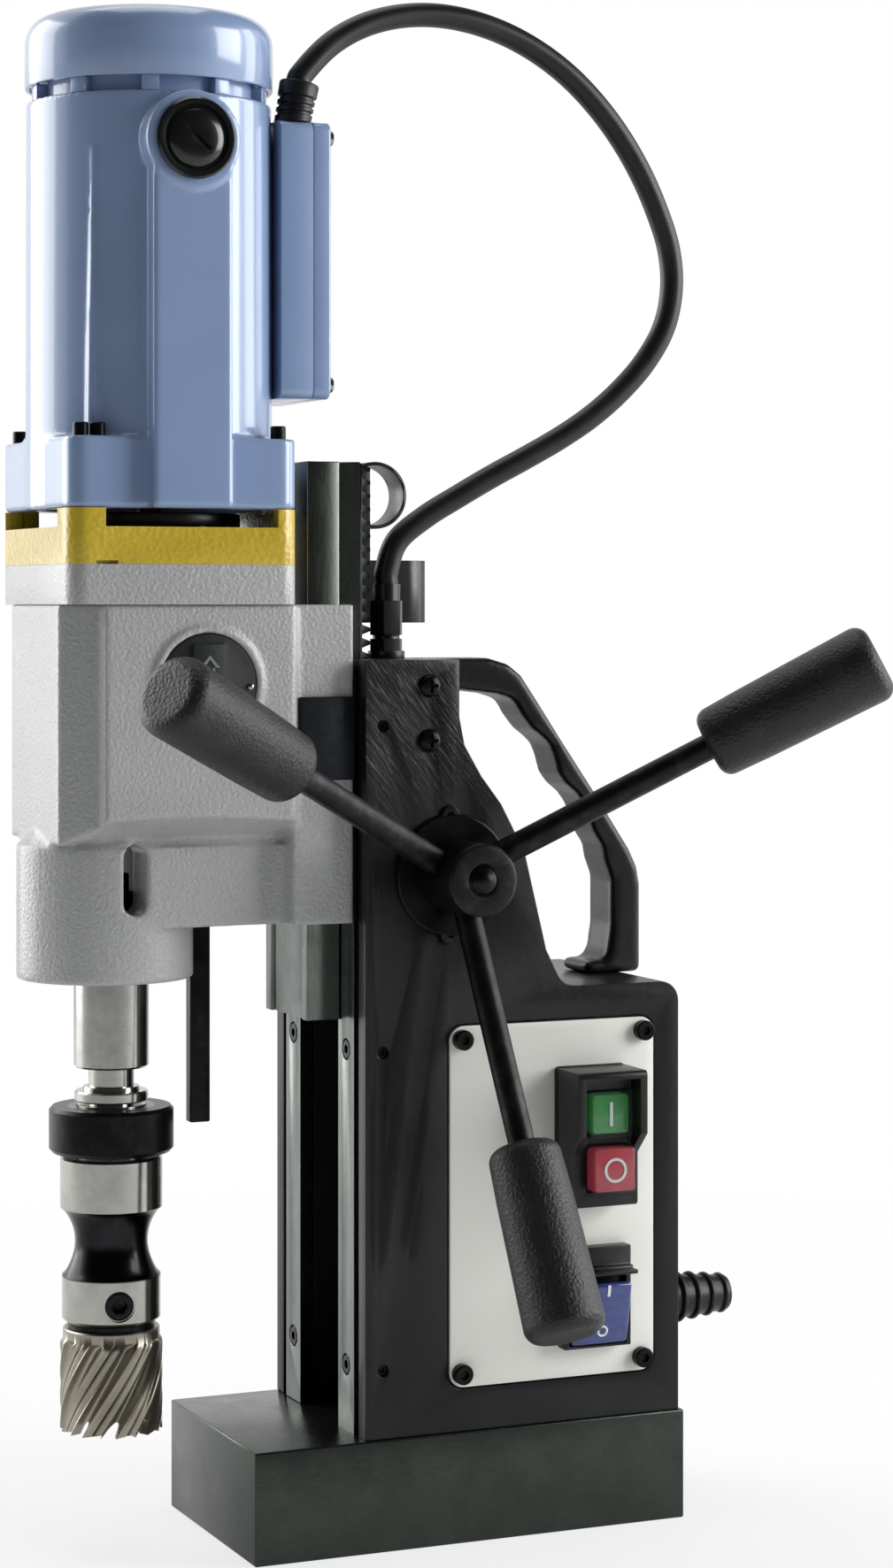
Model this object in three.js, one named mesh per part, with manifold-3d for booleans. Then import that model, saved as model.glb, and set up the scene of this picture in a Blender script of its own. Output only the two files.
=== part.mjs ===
// A magnetic core drill: a motor and gearbox that slide on a casting, which stands on a magnet.
// Millimetres, +Z up. The origin is the centre of the magnet's underside. The spindle is on the
// -X side, and the side with the control panel and the feed handles is -Y.

import * as THREE from 'three';
import { mergeVertices } from 'three/addons/utils/BufferGeometryUtils.js';
import Module from 'manifold-3d';

const wasm = await Module();
wasm.setup();

// Gaps and cutting overrun
const clearance = 0.3;
const overrun = 2;
const weld = 0.001;

// Proportions used on several pieces
const crossShare = 0.5;
const domeShare = 0.8;

// How finely round shapes are divided
const arcStepDegrees = 15;
const quarterSteps = 3;
const smallSides = 10;
const mediumSides = 16;
const largeSides = 24;

// The electromagnet that the drill stands on
const magnet = {
  length: 190,
  sideStep: 1,
  height: 45,
  poleLength: 116,
  poleWidth: 32,
  endWall: 14,
  sideWall: 12,
  coilTop: 36,
  resinInset: 0.5,
};

// The frame casting
const frame = {
  front: -47.6,
  rear: 93,
  width: 100,
  top: 357.6,
  shelf: 223.3,
  towerDepth: 41.1,
  slopeFoot: 40.1,
  cornerRadius: 8,
  slopeFillet: 9,
  recessHalfWidth: 42.2,
  recessDepth: 8,
  channelHalfWidth: 27.5,
  channelFloor: -27.6,
  pinionRoom: 1.6,
  grubRadius: 2.5,
  grubDepth: 6,
  grubX: -40,
  grubHeights: [72.5, 200, 331],
};
const slopeXShares = [0, 0, 0.05, 0.21, 0.4, 0.506, 0.63, 0.725, 0.834];
const slopeZShares = [1, 0.827, 0.741, 0.647, 0.561, 0.492, 0.406, 0.268, 0.114];

// The room inside the casting for the electronics
const cavity = {
  front: -15,
  rear: 82,
  bottom: 62,
  top: 205,
  wall: 9,
};

// The control panel and its switches
const panel = {
  left: -11,
  right: 81,
  bottom: 63,
  top: 209.2,
  thickness: 2,
  proud: 0.6,
  radius: 6,
  margin: 0.8,
  ledge: 7,
};
const motorSwitch = {
  left: 35.9,
  right: 66.7,
  bottom: 134.2,
  top: 190.3,
  depth: 14,
  hoodDepth: 23,
  hoodFrom: 164.7,
  slopeFrom: 155.9,
  wall: 3.2,
  radius: 2,
};
const pushButton = {
  width: 19.3,
  height: 18.8,
  x: 53.1,
  startZ: 172.4,
  stopZ: 150.2,
  startProud: 3.5,
  stopProud: 7.5,
  depth: 9,
  travel: 3,
  corner: 1.2,
};
const magnetSwitch = {
  left: 37,
  right: 67.4,
  bottom: 75.5,
  top: 116.6,
  depth: 6.6,
  ledgeDepth: 13.4,
  ledgeBottom: 105.8,
  ledgeTop: 108.8,
  ledgeStep: 1.2,
  stepDepth: 8.8,
  wall: 2.4,
  pocketDepth: 5,
  taper: 1,
};
const rocker = {
  pivotDepth: 3,
  halfHeight: 13,
  crown: 10.9,
  tip: 8,
  tiltDegrees: 12,
  rootRadius: 3,
};
const board = {
  thickness: 1.6,
  margin: 8,
  standOff: 5,
  relayHeight: 14,
  relaySize: 26,
  postRadius: 3,
};

// The cord boot on the rear face
const boot = {
  y: -23,
  z: 86,
  radius: 11.5,
  tipRadius: 8.5,
  length: 36,
  ribDepth: 1.2,
  ribCount: 4,
  collar: 8,
  bore: 6,
};

// The carrying handle, bolted to the tower and to the shelf
const handle = {
  width: 25,
  reach: 101.1,
  tongue: 18,
  tongueWidth: 12,
  cover: 5,
  footLength: 26,
};
const handleOuterShares = [
  [0.18, 1], [0.3, 1], [0.39, 0.98], [0.45, 0.945], [0.53, 0.858], [0.635, 0.741], [0.785, 0.579],
  [0.88, 0.472], [0.95, 0.392], [0.986, 0.336], [1, 0.28], [1, 0.04],
];
const handleInnerShares = [
  [0.825, 0.04], [0.853, 0.075], [0.868, 0.15], [0.868, 0.3], [0.838, 0.36], [0.83, 0.4],
  [0.79, 0.445], [0.745, 0.535], [0.71, 0.57], [0.66, 0.6], [0.625, 0.635], [0.605, 0.69],
  [0.585, 0.725], [0.55, 0.75], [0.505, 0.775], [0.455, 0.822], [0.42, 0.868], [0.34, 0.886],
  [0.18, 0.9],
];
const handleScrew = {
  x: -19.8,
  heights: [347.1, 325],
  headRadius: 4.6,
  headHeight: 2.8,
  shankRadius: 2.2,
  length: 30,
  slot: 1.1,
};

// The vertical slide, its rails and the rack
const slide = {
  bottom: 211,
  top: 438,
  front: -62.5,
  shoulder: -48.4,
  back: -40,
  halfWidth: 24,
  neckHalfWidth: 20.8,
  flangeHalfWidth: 26,
  grooveDepth: 1.4,
  lip: 6.5,
};
const rail = {
  outer: 38.4,
  front: -48,
  screwRadius: 4.6,
  screwDepth: 5,
  screwHeights: [72, 199.7, 327],
};
const gearPressureDegrees = 20;
const addendumShare = 0.9;
const dedendumShare = 1.2;
const flankShares = [0, 1];
const feedGear = {
  module: 1.75,
  teeth: 24,
  backlash: 0.24,
  height: 270.6,
  pitchLine: -31.1,
  halfWidth: 11,
  shaftRadius: 9,
};

// The feed hub with its three spokes
const hub = {
  radius: 14.6,
  faceRadius: 13.6,
  gap: 2.6,
  length: 29.9,
  bevel: 1,
  bore: 4.6,
  boreDepth: 23.4,
  capRadius: 6.4,
  capDome: 3,
};
const spoke = {
  angles: [31, 153, 273],
  tiltDegrees: 26,
  rootStep: 4.3,
  start: 9,
  radius: 5.3,
  rodEnd: 133,
  gripStart: 113.3,
  gripEnd: 189.9,
  gripInner: 14.4,
  gripOuter: 16,
  endRadius: 6,
};
const flange = {
  radius: 24.5,
  thickness: 2.3,
  bossRadius: 12.6,
};

// The gearbox
const gearbox = {
  front: -170,
  rear: -74.5,
  halfWidth: 46,
  top: 379.8,
  arch: 292.6,
  archFront: 287.5,
  archRear: 290.5,
  cornerX: 14.8,
  cornerY: 13.5,
  cornerRadius: 8,
  cornerWall: 3.5,
  noseX: -140.5,
  noseRadius: 35.4,
  noseBottom: 230,
  lowerBottom: 251.6,
  waistHalfWidth: 31,
  waistX: -84,
  wall: 7,
  floor: 297,
  edgeRadius: 3,
};
const rearBlock = {
  front: -75,
  back: -49.2,
  halfWidth: 41,
  bottom: 251.6,
};
const driftSlot = {
  x: -138.9,
  width: 9.7,
  bottom: 257.1,
  top: 285,
};
const lid = {
  halfWidth: 47.7,
  thickness: 15.8,
  radius: 8,
  spigot: 4,
};
const fanRing = {
  height: 21.9,
  wall: 6,
  windowSill: 14.7,
  windowX: [-155.4, -83.9],
  windowY: [-31.3, 41],
  notchX: [-159.3, -150.4],
  notchHeight: 1.4,
};

// The motor
const motor = {
  x: -121.8,
  flangeTop: 445.6,
  bottomRadius: 49.8,
  topRadius: 49.4,
  top: 581.1,
  wall: 5,
  endWall: 6,
  stripHalfWidth: 16.3,
  stripFace: 55,
  ribRadius: 3.5,
  ribDegrees: 225.5,
};
const motorCap = {
  gap: 6,
  height: 28.9,
  radius: 50,
  spigotRadius: 44,
  edgeRadius: 11,
};
const brushCap = {
  z: 561.6,
  bossRadius: 19.4,
  ringRadius: 16,
  ringDepth: 2.5,
  capRadius: 12.5,
  dome: 4,
  depth: 8,
  slot: 1.6,
};
const terminal = {
  front: -76,
  split: -62.3,
  back: -54.4,
  bottom: 462.9,
  top: 575,
  halfWidth: 30,
  radius: 4,
  wall: 3,
};
const relief = {
  x: -68.2,
  y: -22,
  radius: 7.6,
  topRadius: 8,
  height: 16,
  ribs: 3,
  ribDepth: 1,
  lean: 0.19,
};
const stator = {
  outer: 43,
  inner: 29,
  bottom: 464,
  top: 532,
};
const armature = {
  radius: 28,
  bottom: 466,
  top: 530,
  shaftRadius: 5,
  shaftTop: 579,
  commutatorRadius: 15,
  commutatorBottom: 544,
  commutatorTop: 570,
  windingInset: 6,
  windingLength: 7,
};
const fan = {
  radius: 37,
  hubRadius: 11,
  plate: 2,
  bottomGap: 3,
  height: 17.9,
  blades: 10,
  bladeThickness: 2.4,
};

// The gear train between the motor and the spindle
const firstPair = {
  module: 1,
  pinionTeeth: 10,
  wheelTeeth: 32,
  backlash: 0.26,
  z: 346,
  width: 10,
};
const secondPair = {
  module: 1.5,
  pinionTeeth: 10,
  wheelTeeth: 30,
  backlash: 0.3,
  z: 318,
  width: 16,
};
const idler = {
  shaftRadius: 4.5,
  seat: 6,
};

// The spindle and what it carries, all on one vertical axis
const spindle = {
  x: -137.8,
  radius: 15,
  bottom: 194,
  shoulderDrop: 10,
  topRadius: 10,
  top: 338,
  taperMouth: 11.8,
  taperEnd: 9.2,
  taperLength: 78,
};
const bearing = {
  outer: 24,
  height: 13,
  upperHeight: 9,
};
const arbor = {
  shankLength: 71,
  neckRadius: 9.1,
  washerRadius: 14.8,
  washer: 4.3,
  washerGap: 1.4,
  washerDrop: 9.4,
  top: 158.5,
  radius: 20.5,
  waistTop: 137.8,
  waistRadius: 14.2,
  waistBottom: 110.5,
  bottom: 92.3,
  lowerRadius: 19.8,
  edge: 1.3,
};
const waistShares = [[0.1, 0.15], [0.4, 0.93], [0.6, 0.93], [0.9, 0.15]];
const coolantRing = {
  radius: 25,
  top: 178.4,
  bottom: 160,
  bore: 14,
  chamfer: 1.6,
  nippleRadius: 4.5,
  nippleLength: 6,
  nippleDegrees: 60,
};
const setScrew = {
  z: 100.7,
  radius: 5.5,
  recess: 6.3,
  socket: 3.2,
  length: 9,
  depth: 1.5,
  degrees: 262,
};
const cutter = {
  radius: 20.5,
  rootRadius: 18.6,
  bore: 15.5,
  top: 89.6,
  bottom: 48.4,
  collar: 4,
  ringRadius: 17.3,
  shankRadius: 9.5,
  shankTop: 120,
  flutes: 9,
  fluteShare: 0.32,
  twistDegrees: 68,
  twistSteps: 5,
  toothDepth: 4.5,
  gulletDegrees: 20,
  coreTop: 82,
};
const landShares = [0, 0.33, 0.67, 1];
const fluteEdgeShares = [1, 0.5];
const pilot = {
  radius: 3.15,
  bottom: 54,
  top: 148,
  point: 4,
};

// Fittings on the gearbox and the slide
const sidePlate = {
  front: -73,
  back: -49.4,
  bottom: 309.5,
  top: 342.9,
  thickness: 2.6,
};
const selector = {
  x: -112.8,
  z: 348.4,
  ringRadius: 23,
  ringProud: 1.5,
  discRadius: 20,
  depth: 4.5,
  sunk: 0.6,
  barHalfWidth: 7,
  barProud: 1,
};
const torqueBar = {
  x: -100.9,
  width: 8.5,
  thickness: 6,
  bottom: 169.5,
  seat: 10,
};
const bracket = {
  front: -57.5,
  thickness: 2,
  bottom: 372,
  legTop: 399,
  gap: 1.8,
  rear: 13.8,
  riserFront: -20,
  riserRear: -4,
  riserTop: 438,
};
const bottleClip = {
  radius: 12,
  thickness: 1.6,
  openingDegrees: 80,
  faceDegrees: -90,
};
const hoseClip = {
  radius: 14.5,
  thickness: 1.6,
  z: 427.1,
  x: -1.5,
  width: 16,
  openingDegrees: 100,
  faceDegrees: 0,
};

// The gland on top of the frame and the motor's cable
const gland = {
  x: -18,
  radius: 7.2,
  washer: 3,
  hexTop: 365.6,
  nutBottom: 367.2,
  nutTop: 381.5,
  domeTop: 388.4,
  domeRadius: 5.9,
  threadRadius: 5.6,
  threadDepth: 4,
  crown: 3,
  washerLip: 0.5,
};
const cable = {
  radius: 5,
  sides: 8,
  steps: 34,
};
const cableRoute = [
  [-65.2, -22, 591], [-64.5, -22, 594.4], [-52.2, -20.9, 607.2], [-37.7, -19.5, 616.2], [-21.6, -17.9, 621.6],
  [-4.4, -16.3, 623.8], [13, -14.7, 622.8], [30.2, -13.1, 618.9], [46.5, -11.6, 612.3], [61.4, -10.4, 603.3],
  [74.7, -9.3, 592.1], [86.5, -8.2, 579.2], [96.6, -7.3, 564.8], [104.9, -6.3, 549.3], [111.2, -5.4, 533],
  [113.2, -4.4, 516.3], [110, -3.6, 499.5], [101.2, -2.9, 484.3], [89.2, -2.4, 471.2], [75.7, -1.9, 460],
  [61.1, -1.5, 450.6], [45.8, -1.1, 442.2], [30.2, -0.8, 434.1], [14.8, -0.5, 425.5], [-0.4, -0.3, 416.6],
  [-13.2, -0.1, 406.3], [-18, 0, 393.5], [-18, 0, 388.4],
];

const looks = {
  castPaint: { color: 0x1b1d1e, roughness: 0.5, metalness: 0.1 },
  magnetSteel: { color: 0x2a3236, roughness: 0.45, metalness: 0.6 },
  greyPaint: { color: 0xa6a8aa, roughness: 0.55, metalness: 0.1 },
  bluePaint: { color: 0x7b97c4, roughness: 0.35, metalness: 0.05 },
  yellowPaint: { color: 0xc8a52a, roughness: 0.4, metalness: 0.1 },
  groundSteel: { color: 0x8c948f, roughness: 0.35, metalness: 0.9 },
  brightSteel: { color: 0xb9bcbb, roughness: 0.22, metalness: 1 },
  darkSteel: { color: 0x2b2c2d, roughness: 0.35, metalness: 0.8 },
  cutterSteel: { color: 0x9b948b, roughness: 0.35, metalness: 0.9 },
  rubber: { color: 0x2c2e2f, roughness: 0.75, metalness: 0 },
  blackPlastic: { color: 0x161718, roughness: 0.5, metalness: 0 },
  panelPaint: { color: 0xddd8cc, roughness: 0.45, metalness: 0 },
  green: { color: 0x1f9a35, roughness: 0.3, metalness: 0 },
  red: { color: 0xb02a3a, roughness: 0.3, metalness: 0 },
  blue: { color: 0x24408f, roughness: 0.3, metalness: 0 },
  copper: { color: 0xa85f32, roughness: 0.4, metalness: 0.8 },
  laminate: { color: 0x6d7072, roughness: 0.5, metalness: 0.7 },
  circuit: { color: 0x1d5c3a, roughness: 0.5, metalness: 0 },
};

const radians = THREE.MathUtils.degToRad;
const between = THREE.MathUtils.lerp;

// Solids from three.js geometries

function solid(geometry) {
  for (const attribute of ['normal', 'uv']) {
    geometry.deleteAttribute(attribute);
  }
  const merged = mergeVertices(geometry, weld);
  const points = merged.attributes.position;
  const corners = merged.index.array;
  const kept = [];
  let volume = 0;
  const [a, b, c] = [new THREE.Vector3(), new THREE.Vector3(), new THREE.Vector3()];
  for (let i = 0; i < corners.length; i += 3) {
    const [p, q, r] = [corners[i], corners[i + 1], corners[i + 2]];
    if (p === q || q === r || r === p) continue;
    kept.push([p, q, r]);
    a.fromBufferAttribute(points, p);
    b.fromBufferAttribute(points, q);
    c.fromBufferAttribute(points, r);
    volume += a.dot(b.cross(c));
  }
  const facingOut = volume > 0 ? kept : kept.map(([p, q, r]) => [p, r, q]);
  return new wasm.Manifold(new wasm.Mesh({
    numProp: 3,
    vertProperties: new Float32Array(points.array),
    triVerts: new Uint32Array(facingOut.flat()),
  }));
}

function join(...solids) {
  return solids.reduce((whole, piece) => whole.add(piece));
}

function cut(whole, ...tools) {
  return tools.reduce((rest, tool) => rest.subtract(tool), whole);
}

function meshOf(name, body, look) {
  const shape = body.getMesh();
  const geometry = new THREE.BufferGeometry();
  geometry.setAttribute('position', new THREE.BufferAttribute(shape.vertProperties, 3));
  geometry.setIndex(new THREE.BufferAttribute(shape.triVerts, 1));
  geometry.computeVertexNormals();
  const mesh = new THREE.Mesh(geometry, new THREE.MeshStandardMaterial(look));
  mesh.name = name;
  return mesh;
}

// Basic shapes, placed by their limits

function block([x0, x1], [y0, y1], [z0, z1]) {
  const geometry = new THREE.BoxGeometry(x1 - x0, y1 - y0, z1 - z0);
  geometry.translate((x0 + x1) / 2, (y0 + y1) / 2, (z0 + z1) / 2);
  return solid(geometry);
}

function standUp(geometry, axis, u, v) {
  if (axis === 'z') return geometry.rotateX(Math.PI / 2).translate(u, v, 0);
  if (axis === 'x') return geometry.rotateZ(-Math.PI / 2).translate(0, u, v);
  return geometry.translate(u, 0, v);
}

function cylinder(axis, [u, v], radius, [from, to], sides = mediumSides, endRadius = radius) {
  const geometry = new THREE.CylinderGeometry(endRadius, radius, to - from, sides);
  geometry.translate(0, (from + to) / 2, 0);
  return solid(standUp(geometry, axis, u, v));
}

function turned(axis, [u, v], profile, sides = largeSides) {
  const points = profile.map(([r, h]) => new THREE.Vector2(r, h));
  return solid(standUp(new THREE.LatheGeometry(points, sides), axis, u, v));
}

function ring(axis, centre, outer, inner, [from, to], sides = mediumSides) {
  return turned(axis, centre, [[inner, from], [outer, from], [outer, to], [inner, to], [inner, from]], sides);
}

function extruded(points, depth, holes = [], steps = 1) {
  const shape = new THREE.Shape(points.map(([u, v]) => new THREE.Vector2(u, v)));
  shape.holes = holes.map((hole) => new THREE.Path(hole.map(([u, v]) => new THREE.Vector2(u, v))));
  return new THREE.ExtrudeGeometry(shape, { depth, bevelEnabled: false, steps });
}

function prismZ(points, [z0, z1], holes = []) {
  return solid(extruded(points, z1 - z0, holes).translate(0, 0, z0));
}

function prismY(points, [y0, y1], holes = []) {
  return solid(extruded(points, y1 - y0, holes).rotateX(Math.PI / 2).translate(0, y1, 0));
}

function prismX(points, [x0, x1]) {
  const turn = new THREE.Matrix4().makeBasis(
    new THREE.Vector3(0, 1, 0), new THREE.Vector3(0, 0, 1), new THREE.Vector3(1, 0, 0));
  return solid(extruded(points, x1 - x0).applyMatrix4(turn).translate(x0, 0, 0));
}

function rectangle([u0, u1], [v0, v1]) {
  return [[u0, v0], [u1, v0], [u1, v1], [u0, v1]];
}

// Rounds the corners of an outline with arcs. A radius of zero keeps a corner sharp.
function rounded(points, radii) {
  const result = [];
  points.forEach(([x, y], i) => {
    const radius = Array.isArray(radii) ? radii[i] : radii;
    const here = new THREE.Vector2(x, y);
    const before = new THREE.Vector2(...points.at(i - 1)).sub(here);
    const after = new THREE.Vector2(...points[(i + 1) % points.length]).sub(here);
    const cosine = before.dot(after) / before.length() / after.length();
    const angle = Math.acos(THREE.MathUtils.clamp(cosine, -1, 1));
    const room = Math.min(before.length(), after.length()) / 2;
    const reach = Math.min(radius / Math.tan(angle / 2), room);
    if (reach < weld) {
      result.push([x, y]);
      return;
    }
    const arcRadius = reach * Math.tan(angle / 2);
    const middle = before.clone().normalize().add(after.clone().normalize()).normalize();
    const centre = here.clone().addScaledVector(middle, Math.hypot(reach, arcRadius));
    const start = here.clone().addScaledVector(before.normalize(), reach).sub(centre).angle();
    const end = here.clone().addScaledVector(after.normalize(), reach).sub(centre).angle();
    const sweep = THREE.MathUtils.euclideanModulo(end - start + Math.PI, 2 * Math.PI) - Math.PI;
    const steps = Math.max(2, Math.round(Math.abs(sweep) / radians(arcStepDegrees)));
    for (let k = 0; k <= steps; k += 1) {
      const turn = start + (sweep * k) / steps;
      result.push([centre.x + arcRadius * Math.cos(turn), centre.y + arcRadius * Math.sin(turn)]);
    }
  });
  return result;
}

// A quarter round of a turned profile, from the side of the piece to its end
function quarterRound(radius, end, edge, direction) {
  return Array.from({ length: quarterSteps + 1 }, (_, k) => {
    const turn = (Math.PI / 2) * (k / quarterSteps);
    return [radius - edge + edge * Math.cos(turn), end - direction * edge * (1 - Math.sin(turn))];
  });
}

// Gears

// The outline of a spur gear with involute flanks. One tooth points along the phase angle.
function gearOutline({ module, teeth, backlash, phase }) {
  const pitchRadius = (module * teeth) / 2;
  const pressure = radians(gearPressureDegrees);
  const baseRadius = pitchRadius * Math.cos(pressure);
  const tipRadius = pitchRadius + module * addendumShare;
  const rootRadius = pitchRadius - module * dedendumShare;
  const roll = (radius) => Math.acos(Math.min(1, baseRadius / radius));
  const involute = (radius) => Math.tan(roll(radius)) - roll(radius);
  const half = (Math.PI * module / 2 - backlash) / 2 / pitchRadius + involute(pitchRadius);
  const lowest = Math.max(baseRadius, rootRadius);
  const radiiUp = [rootRadius, ...flankShares.map((share) => between(lowest, tipRadius, share))];
  const flank = radiiUp.map((radius) => [radius, half - involute(Math.max(radius, lowest))]);
  const points = [];
  for (let tooth = 0; tooth < teeth; tooth += 1) {
    const centre = phase + (2 * Math.PI * tooth) / teeth;
    const rising = flank.map(([radius, turn]) => [radius, centre - turn]);
    const falling = flank.map(([radius, turn]) => [radius, centre + turn]).reverse();
    for (const [radius, turn] of [...rising, ...falling]) {
      points.push([radius * Math.cos(turn), radius * Math.sin(turn)]);
    }
  }
  return points;
}

// The outline of the rack: base plate and straight-flanked teeth, one of them at the pinion's height
function rackOutline(baseX, [bottom, top], toothZ) {
  const { module, backlash, pitchLine } = feedGear;
  const pitch = Math.PI * module;
  const lean = Math.tan(radians(gearPressureDegrees));
  const tip = pitchLine + module * addendumShare;
  const root = pitchLine - module * dedendumShare;
  const half = (pitch / 2 - backlash) / 2;
  const tipHalf = half - module * addendumShare * lean;
  const rootHalf = half + module * dedendumShare * lean;
  const first = Math.ceil((bottom + rootHalf - toothZ) / pitch);
  const last = Math.floor((top - rootHalf - toothZ) / pitch);
  const points = [[baseX, top], [baseX, bottom], [root, bottom]];
  for (let k = first; k <= last; k += 1) {
    const z = toothZ + k * pitch;
    points.push([root, z - rootHalf], [tip, z - tipHalf], [tip, z + tipHalf], [root, z + rootHalf]);
  }
  points.push([root, top]);
  return points;
}

function pitchRadius(pair, count) {
  return (pair.module * count) / 2;
}

// Where the idler stands, at the right distance from the motor shaft and from the spindle
function idlerPlace() {
  const fromMotor = pitchRadius(firstPair, firstPair.pinionTeeth + firstPair.wheelTeeth);
  const fromSpindle = pitchRadius(secondPair, secondPair.pinionTeeth + secondPair.wheelTeeth);
  const apart = motor.x - spindle.x;
  const along = (fromSpindle ** 2 - fromMotor ** 2 + apart ** 2) / (2 * apart);
  return [spindle.x + along, Math.sqrt(fromSpindle ** 2 - along ** 2)];
}

function direction([fromX, fromY], [toX, toY]) {
  return Math.atan2(toY - fromY, toX - fromX);
}

function gearZ([x, y], settings, [z0, z1]) {
  const outline = gearOutline(settings).map(([u, v]) => [x + u, y + v]);
  return prismZ(outline, [z0, z1]);
}

// Places that several pieces share

const frameSide = frame.width / 2;
const magnetSide = frameSide + magnet.sideStep;
const cavitySide = frameSide - cavity.wall;
const hubBack = frameSide + hub.gap;
const hubFace = hubBack + hub.length;
const hubShoulder = hubFace - hub.bevel;
const hubBoreEnd = hubBack + hub.boreDepth;
const pinionRadius = (feedGear.module * feedGear.teeth) / 2;
const feedAxis = [feedGear.pitchLine + pinionRadius, feedGear.height];
const lidTop = gearbox.top + lid.thickness;
const ringTop = lidTop + fanRing.height;
const motorAxis = [motor.x, 0];
const spindleAxis = [spindle.x, 0];
const idlerAxis = idlerPlace();
const toIdlerFromMotor = direction(motorAxis, idlerAxis);
const toSpindleFromIdler = direction(idlerAxis, spindleAxis);

// The electromagnet

function magnetBody() {
  const half = magnet.length / 2;
  const outer = rectangle([-half, half], [-magnetSide, magnetSide]);
  const whole = prismZ(outer, [0, magnet.height]);
  const groove = coilRing(magnet.coilTop + clearance, 0);
  return cut(whole, groove);
}

function coilRing(top, gap) {
  const outerX = magnet.length / 2 - magnet.endWall - gap;
  const outerY = magnetSide - magnet.sideWall - gap;
  const innerX = magnet.poleLength / 2 + gap;
  const innerY = magnet.poleWidth / 2 + gap;
  const outer = rectangle([-outerX, outerX], [-outerY, outerY]);
  const inner = rectangle([-innerX, innerX], [-innerY, innerY]);
  const bottom = gap > 0 ? magnet.resinInset : -overrun;
  return prismZ(outer, [bottom, top], [inner]);
}

// The frame casting

function frameOutline() {
  const towerRear = frame.front + frame.towerDepth;
  const slope = slopeXShares.map((share, i) => [
    between(towerRear, frame.slopeFoot, share),
    between(frame.shelf, frame.top, slopeZShares[i]),
  ]).reverse();
  return rounded(
    [
      [frame.front, magnet.height],
      [frame.rear, magnet.height],
      [frame.rear, frame.shelf],
      [frame.slopeFoot, frame.shelf],
      ...slope,
      [frame.front, frame.top],
    ],
    [0, 0, frame.cornerRadius, frame.slopeFillet, ...slope.map(() => 0), 0],
  );
}

function frameCasting() {
  const deep = [magnet.height - overrun, frame.top + overrun];
  const seat = frame.front + frame.recessDepth;
  const body = prismY(frameOutline(), [-frameSide, frameSide]);
  const recess = block([frame.front - overrun, seat], [-frame.recessHalfWidth, frame.recessHalfWidth], deep);
  const channel = block(
    [frame.front, frame.channelFloor], [-frame.channelHalfWidth, frame.channelHalfWidth], deep);
  const pinionRoom = pinionRadius + feedGear.module * addendumShare + frame.pinionRoom;
  const pinionHole = cylinder('y', feedAxis, pinionRoom,
    [-feedGear.halfWidth - frame.pinionRoom, feedGear.halfWidth + frame.pinionRoom]);
  const shaftHole = cylinder('y', feedAxis, flange.bossRadius, [-frameSide - overrun, frameSide + overrun]);
  const grubHoles = frame.grubHeights.map((z) => cylinder('y', [frame.grubX, z], frame.grubRadius,
    [-frameSide - overrun, -frameSide + frame.grubDepth], smallSides));
  return cut(body, recess, channel, pinionHole, shaftHole, ...grubHoles, panelRecess(), electronicsRoom(),
    handleSocket(), glandHole(frame.top), ...handleScrewHoles(), bootHole());
}

function panelOutline(grow) {
  return rounded(rectangle([panel.left - grow, panel.right + grow], [panel.bottom - grow, panel.top + grow]),
    panel.radius + grow);
}

function panelRecess() {
  const floor = -frameSide + panel.thickness - panel.proud;
  return prismY(panelOutline(panel.margin), [-frameSide - overrun, floor]);
}

function electronicsRoom() {
  const window = prismY(
    rectangle(
      [panel.left + panel.ledge, panel.right - panel.ledge],
      [panel.bottom + panel.ledge, panel.top - panel.ledge],
    ),
    [-frameSide - overrun, 0]);
  const room = block(
    [cavity.front, cavity.rear], [-cavitySide, cavitySide], [cavity.bottom, cavity.top]);
  return join(window, room);
}

function handleSocket() {
  const towerRear = frame.front + frame.towerDepth;
  const gap = handle.tongueWidth / 2 + clearance;
  const lowest = between(frame.shelf, frame.top, handleInnerShares.at(-1)[1]) - handleScrewDrop() - clearance;
  return block([towerRear - handle.tongue - clearance, frame.slopeFoot], [-gap, gap],
    [lowest, frame.top - handle.cover + clearance]);
}

function handleScrewDrop() {
  return handleScrew.heights[0] - handleScrew.heights[1];
}

function handleScrewHoles() {
  return handleScrew.heights.map((z) => cylinder('y', [handleScrew.x, z], handleScrew.shankRadius + clearance,
    [-frameSide - overrun, -frameSide + handleScrew.length + clearance], smallSides));
}

function glandHole(top) {
  return cylinder('z', [gland.x, 0], gland.threadRadius + clearance,
    [top - gland.threadDepth - clearance, top + overrun]);
}

function bootHole() {
  return cylinder('x', [boot.y, boot.z], boot.bore,
    [cavity.rear - overrun, frame.rear + overrun], smallSides);
}

// The carrying handle

function handlePoint([xShare, zShare]) {
  const towerRear = frame.front + frame.towerDepth;
  return [towerRear + xShare * handle.reach, between(frame.shelf, frame.top, zShare)];
}

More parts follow.
